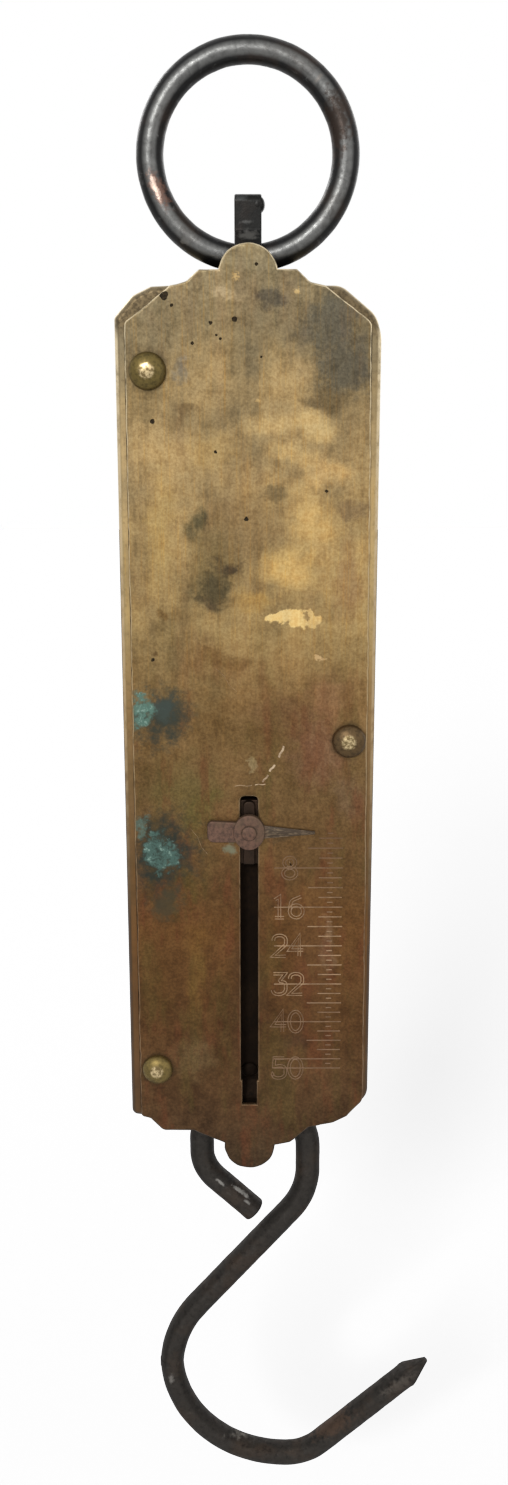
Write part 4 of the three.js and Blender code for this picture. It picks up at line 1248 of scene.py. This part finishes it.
def make_hook():
    line = [Vector((p.x, HOOK_EYE + p.y)) for p in bend(HOOK_CORNERS, closed=False, step=math.radians(3))]
    points = resample(line, 0.8)
    sides = 40
    start_steps = [0, 0.12, 0.35]
    heading = (points[1] - points[0]).normalized()
    points = [points[0] + heading * s for s in start_steps] + points[1:]
    lengths = [0]
    for before, here in zip(points, points[1:]):
        lengths.append(lengths[-1] + (here - before).length)

    def section(i, here):
        to_tip = lengths[-1] - lengths[i]
        point = max(0, 1 - to_tip / HOOK_POINT_LENGTH)
        size = HOOK_ROD / 2 - 0.06
        size += (HOOK_POINT_SIZE - size) * point
        squareness = 2.2 + 5 * min(1, point * 4)
        size -= (0.35, 0.12, 0)[i] if i < 3 else 0
        out = []
        for s in range(sides):
            angle = 2 * math.pi * s / sides
            place = Vector((here.x, here.y, 4 * s / sides))
            rough = 0.06 * noise.noise(place * 0.3) + 0.03 * noise.noise(place * 1.1)
            across = math.cos(angle)
            depth = math.sin(angle)
            fit = (abs(across) ** squareness + abs(depth) ** squareness) ** (-1 / squareness)
            radius = min(size * fit, HOOK_ROD / 2 * 1.06) + rough * (1 - point)
            out.append((radius * across, max(-HOOK_ROD / 2, min(HOOK_ROD / 2, radius * depth))))
        return out

    piece = new_piece(tube(points, section), "iron_s_hook", [hook_iron], 50)
    return dress(piece, "hook", "iron", "hook")


def strap(line, width, thickness, edge=0.35):
    """A flat strap folded along a line of (y, z) points, with rounded edges."""
    half_width = width / 2
    half = thickness / 2
    outline = bend([
        (-half_width, -half, edge),
        (-half_width, half, edge),
        (half_width, half, edge),
        (half_width, -half, edge),
    ], step=math.radians(30))
    bm = bmesh.new()
    rows = []
    for i, here in enumerate(line):
        before = line[max(i - 1, 0)]
        after = line[min(i + 1, len(line) - 1)]
        heading = (after - before).normalized()
        normal = Vector((0, -heading.y, heading.x))
        place = Vector((0, here.x, here.y))
        rows.append([place + Vector((p.x, 0, 0)) + normal * p.y for p in outline])
    made = loft(bm, rows)
    bm.faces.new(made[0])
    bm.faces.new(made[-1])
    return bm


def make_hanger():
    legs = hanger_high.y - STRAP_THICKNESS / 2
    pinch = 1
    top = hanger_high.z - STRAP_THICKNESS / 2
    end = hanger_low.z
    line = bend([
        (legs, end, 0),
        (legs, RING_EYE + 1.9, 3),
        (pinch, RING_EYE + 5.7, 2),
        (pinch, top, pinch - 0.02),
        (-pinch, top, pinch - 0.02),
        (-pinch, RING_EYE + 5.7, 2),
        (-legs, RING_EYE + 1.9, 3),
        (-legs, end, 0),
    ], closed=False)
    width = hanger_high.x - hanger_low.x
    piece = new_piece(strap(line, width, STRAP_THICKNESS), "iron_hanger", [strap_iron], 40)
    pin_low, pin_high = node_box("hanger_pin")
    bore = peg(1.65, 0, (pin_low.z + pin_high.z) / 2, -legs - 3, legs + 3)
    carve(piece, [new_piece(bore, "tool", [])])
    nub = turned([
        (0, -pinch - 0.84), (0.9, -pinch - 0.78), (1.5, -pinch - 0.3), (1.7, 0.2), (1.5, 1), (0.8, 1.4), (0, 1.5),
    ], width / 2 - 0.9, hanger_high.z - 2.3, 24, 1.2)
    add_shell(piece, new_piece(nub, "nub", [strap_iron], 60))
    return dress(piece, "case", "iron", "hanger_strap")


def make_draw_bar():
    legs = draw_high.y - STRAP_THICKNESS / 2
    neck = 2.2
    top = draw_high.z
    line = bend([
        (neck, top, 0),
        (neck, HOOK_EYE + 7.2, 2),
        (legs, HOOK_EYE + 3.6, 2),
        (legs, HOOK_EYE - legs, legs - 0.02),
        (-legs, HOOK_EYE - legs, legs - 0.02),
        (-legs, HOOK_EYE + 3.6, 2),
        (-neck, HOOK_EYE + 7.2, 2),
        (-neck, top, 0),
    ], closed=False)
    width = draw_high.x - draw_low.x
    piece = new_piece(strap(line, width, STRAP_THICKNESS), "iron_draw_strap", [bar_iron], 40)
    return dress(piece, "draw", "iron", "draw_strap")


def make_block():
    """The pointer block: a body behind the plate and a round-topped tongue in the slot."""
    tongue_half = 1.45
    body_front = PLATE_BACK + 0.4
    body = slab([bend([
        (block_low.x, block_low.z, 0.5),
        (block_low.x, block_high.z, 0.8),
        (block_high.x, block_high.z, 0.8),
        (block_high.x, block_low.z, 0.5),
    ])], body_front, block_high.y, 0.3, 0.3)
    tongue = slab([bend([
        (-tongue_half, block_low.z + 0.2, 0.3),
        (-tongue_half, block_high.z - 0.1, 1.2),
        (tongue_half, block_high.z - 0.1, 1.2),
        (tongue_half, block_low.z + 0.2, 0.3),
    ])], block_low.y, body_front + 1, 0.4, 0.1)
    piece = new_piece(body, "slot_block", [block_iron])
    join(piece, [new_piece(tongue, "tongue", [block_iron])])
    return dress(piece, "draw", "iron", "pointer_block")


def make_pointer():
    """A low disc with a blunt short arm and a long arm that tapers under a ridge."""
    back = pointer_high.y
    front = pointer_low.y
    half_width = 3.9
    tall = (pointer_high.z - pointer_low.z) / 2 / half_width
    edge = 0.3
    profile = [(0, front), (half_width * 0.5, front + 0.03), (half_width * 0.8, front + 0.14)]
    for k in range(5):
        angle = math.pi / 2 * k / 4
        profile.append((half_width - edge + edge * math.sin(angle), front + 0.2 + edge * (1 - math.cos(angle))))
    profile += [(half_width, back), (0, back)]
    disc = new_piece(turned(profile, 0, POINTER_LEVEL, 72, tall), "pointer_arm_and_disc", [pointer_copper], 40)

    short_half = 2.6
    short = slab([bend([
        (0, POINTER_LEVEL - short_half, 0),
        (pointer_low.x, POINTER_LEVEL - short_half, 1.7),
        (pointer_low.x, POINTER_LEVEL + short_half + 0.4, 1.3),
        (0, POINTER_LEVEL + short_half - 0.2, 0),
    ])], back - 1, back, 0.35, 0.05)

    long_arm = bmesh.new()
    rows = []
    root_half = 2.2
    tip_half = 0.35
    steps = 16
    for k in range(steps + 1):
        share = k / steps
        x = pointer_high.x * share
        half = root_half + (tip_half - root_half) * share ** 0.85
        middle = POINTER_LEVEL - 0.3 * share
        crest = back - (0.95 - 0.35 * share)
        rows.append([
            Vector((x, back, middle - half)),
            Vector((x, back - 0.3, middle - half)),
            Vector((x, back - 0.42, middle - half * 0.55)),
            Vector((x, crest, middle - half * 0.12)),
            Vector((x, crest, middle + half * 0.3)),
            Vector((x, back - 0.42, middle + half * 0.72)),
            Vector((x, back - 0.3, middle + half)),
            Vector((x, back, middle + half)),
        ])
    made = loft(long_arm, rows)
    long_arm.faces.new(made[0])
    long_arm.faces.new(made[-1])
    join(disc, [new_piece(arm, "arm", [pointer_copper]) for arm in (short, long_arm)], 30)
    return dress(disc, "draw", "pointer_copper", "pointer")


def make_spring():
    """The main spring as a fine coil, on the same line as its solid."""
    wire = 2.1
    mean = 12.2 / 2
    curls = 31
    pitch = 2.65
    lead = 6
    pin_low, pin_high = node_box("hanger_pin")
    upper_pin = (pin_low.z + pin_high.z) / 2
    lower_pin = upper_pin - 2 * lead - curls * pitch
    eye = 1.6 + 0.3 + wire / 2
    low = lower_pin + lead
    high = low + curls * pitch
    steps = 20
    wrap = math.radians(250)
    points = []
    for k in range(2 * steps + 1):
        angle = -wrap * (1 - k / (2 * steps))
        points.append(Vector((eye * math.cos(angle), 0, lower_pin + eye * math.sin(angle))))
    points += [
        Vector((eye + 0.5, -0.3, low - lead * 0.62)),
        Vector((eye + 1.9, -1, low - lead * 0.3)),
        Vector((mean * math.cos(0.42), -mean * math.sin(0.42), low - 0.35)),
    ]
    for k in range(curls * steps + 1):
        angle = 2 * math.pi * k / steps
        points.append(Vector((mean * math.cos(angle), mean * math.sin(angle), low + pitch * k / steps)))
    points += [
        Vector((mean * math.cos(0.42), mean * math.sin(0.42), high + 0.35)),
        Vector((eye + 1.9, 1, high + lead * 0.3)),
        Vector((eye + 0.5, 0.3, high + lead * 0.62)),
    ]
    for k in range(2 * steps + 1):
        angle = wrap * k / (2 * steps)
        points.append(Vector((eye * math.cos(angle), 0, upper_pin + eye * math.sin(angle))))
    bm = bmesh.new()
    rows = []
    sides = 10
    heading = (points[1] - points[0]).normalized()
    out = Vector((0, 1, 0))
    for i, here in enumerate(points):
        along = (points[min(i + 1, len(points) - 1)] - points[max(i - 1, 0)]).normalized()
        out = heading.rotation_difference(along) @ out
        out = (out - along * out.dot(along)).normalized()
        heading = along
        side = along.cross(out)
        angles = [2 * math.pi * s / sides for s in range(sides)]
        rows.append([here + (out * math.cos(a) + side * math.sin(a)) * wire / 2 for a in angles])
    made = loft(bm, rows)
    bm.faces.new(made[0])
    bm.faces.new(made[-1])
    piece = new_piece(bm, "coil_spring", [spring_steel], 60)
    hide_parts("main_spring")
    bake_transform(piece)
    return piece


def dress_carried_nodes():
    """The inner parts keep their own shapes, with a worn finish."""
    finishes = {
        "hanger_pin": inner_steel, "hanger_bridge": inner_steel, "lower_guide": inner_steel,
        "spring_pin": inner_steel, "block_rivet": bar_iron, "pointer_spacer": inner_steel,
        "block_spacer": bar_iron, "neck_spacer": bar_iron, "neck_rivet": bar_iron,
        "pointer_rivet": pointer_copper,
    }
    for name in ("spacer_top", "spacer_middle", "spacer_bottom"):
        finishes[name] = case_brass
    for name in ("bridge_rivet_left", "bridge_rivet_right", "guide_rivet_left", "guide_rivet_right"):
        finishes[name] = case_brass
    for name, material in finishes.items():
        node = frame["nodes"][name]
        for slot in node.material_slots:
            slot.material = material


make_plate()
make_case()
for rivet in RIVETS:
    make_rivet(rivet)
make_ring()
make_hook()
make_hanger()
make_draw_bar()
make_block()
make_pointer()
make_spring()
dress_carried_nodes()


# Stage, light and camera

PHOTO_HEIGHT = 1485
FOCAL_PIXELS = 1500
SENSOR = 36
CAMERA_PITCH = 14.483
CAMERA_ROLL = -0.068
CAMERA_PLACE = (1.24, -362.18, -62.78)
FLOOR_LEVEL = -440
FLOOR_REACH = 3000


def backdrop_paint(name):
    material = bpy.data.materials.new(name)
    material.use_nodes = True
    tree = material.node_tree
    tree.nodes.clear()
    output = tree.nodes.new("ShaderNodeOutputMaterial")
    diffuse = tree.nodes.new("ShaderNodeBsdfDiffuse")
    diffuse.inputs["Color"].default_value = (0.93, 0.93, 0.93, 1)
    tree.links.new(diffuse.outputs[0], output.inputs[0])
    return material


def plane(name, corners, material):
    mesh = bpy.data.meshes.new(name)
    mesh.from_pydata([Vector(c) * MM for c in corners], [], [(0, 1, 2, 3)])
    mesh.materials.append(material)
    sheet = bpy.data.objects.new(name, mesh)
    bpy.context.scene.collection.objects.link(sheet)
    return sheet


def area_lamp(name, place, aim, size, power):
    lamp = bpy.data.lights.new(name, "AREA")
    lamp.shape = "DISK"
    lamp.size = size
    lamp.energy = power
    holder = bpy.data.objects.new(name, lamp)
    holder.location = place
    holder.rotation_mode = "QUATERNION"
    holder.rotation_quaternion = (Vector(aim) - Vector(place)).to_track_quat("-Z", "Y")
    bpy.context.scene.collection.objects.link(holder)


def make_stage():
    """A pale floor that only catches the soft shadow, below the lowest that the hook reaches."""
    reach = FLOOR_REACH
    corners = [(-reach, -reach), (reach, -reach), (reach, reach), (-reach, reach)]
    floor = plane("floor", [(x, y, FLOOR_LEVEL) for x, y in corners], backdrop_paint("pale_floor"))
    floor.is_shadow_catcher = True


def make_light():
    world = bpy.data.worlds.new("studio")
    bpy.context.scene.world = world
    world.use_nodes = True
    tree = world.node_tree
    tree.nodes.clear()
    output = tree.nodes.new("ShaderNodeOutputWorld")
    soft = tree.nodes.new("ShaderNodeBackground")
    soft.inputs["Strength"].default_value = 0.5
    shown = tree.nodes.new("ShaderNodeBackground")
    shown.inputs["Strength"].default_value = 1.0
    for background in (soft, shown):
        background.inputs["Color"].default_value = (1, 1, 1, 1)
    rays = tree.nodes.new("ShaderNodeLightPath")
    seen = rays.outputs["Is Camera Ray"]
    for kind in ("Is Glossy Ray", "Is Transmission Ray"):
        either = tree.nodes.new("ShaderNodeMath")
        either.operation = "MAXIMUM"
        tree.links.new(seen, either.inputs[0])
        tree.links.new(rays.outputs[kind], either.inputs[1])
        seen = either.outputs[0]
    choose = tree.nodes.new("ShaderNodeMixShader")
    tree.links.new(seen, choose.inputs[0])
    tree.links.new(soft.outputs[0], choose.inputs[1])
    tree.links.new(shown.outputs[0], choose.inputs[2])
    tree.links.new(choose.outputs[0], output.inputs[0])
    aim = (0, 0, -0.15)
    area_lamp("key", (-0.3, -1.15, 0.38), aim, 0.26, 6.5)
    area_lamp("fill", (0.9, -0.9, 0.1), aim, 0.9, 1.2)
    area_lamp("back_left", (-0.8, 1.0, 0.5), aim, 0.6, 4)
    area_lamp("back_right", (0.8, 1.0, 0.2), aim, 0.8, 2)


def make_camera():
    camera = bpy.data.cameras.new("camera")
    camera.sensor_width = SENSOR
    camera.lens = SENSOR * FOCAL_PIXELS / PHOTO_HEIGHT
    camera.clip_start = 0.01
    holder = bpy.data.objects.new("camera", camera)
    tilt = Matrix.Rotation(math.radians(90 - CAMERA_PITCH), 4, "X")
    roll = Matrix.Rotation(math.radians(CAMERA_ROLL), 4, "Z")
    holder.matrix_world = Matrix.Translation(Vector(CAMERA_PLACE) * MM) @ tilt @ roll
    bpy.context.scene.collection.objects.link(holder)
    bpy.context.scene.camera = holder


make_stage()
make_light()
make_camera()
bpy.context.scene.view_settings.view_transform = "Standard"
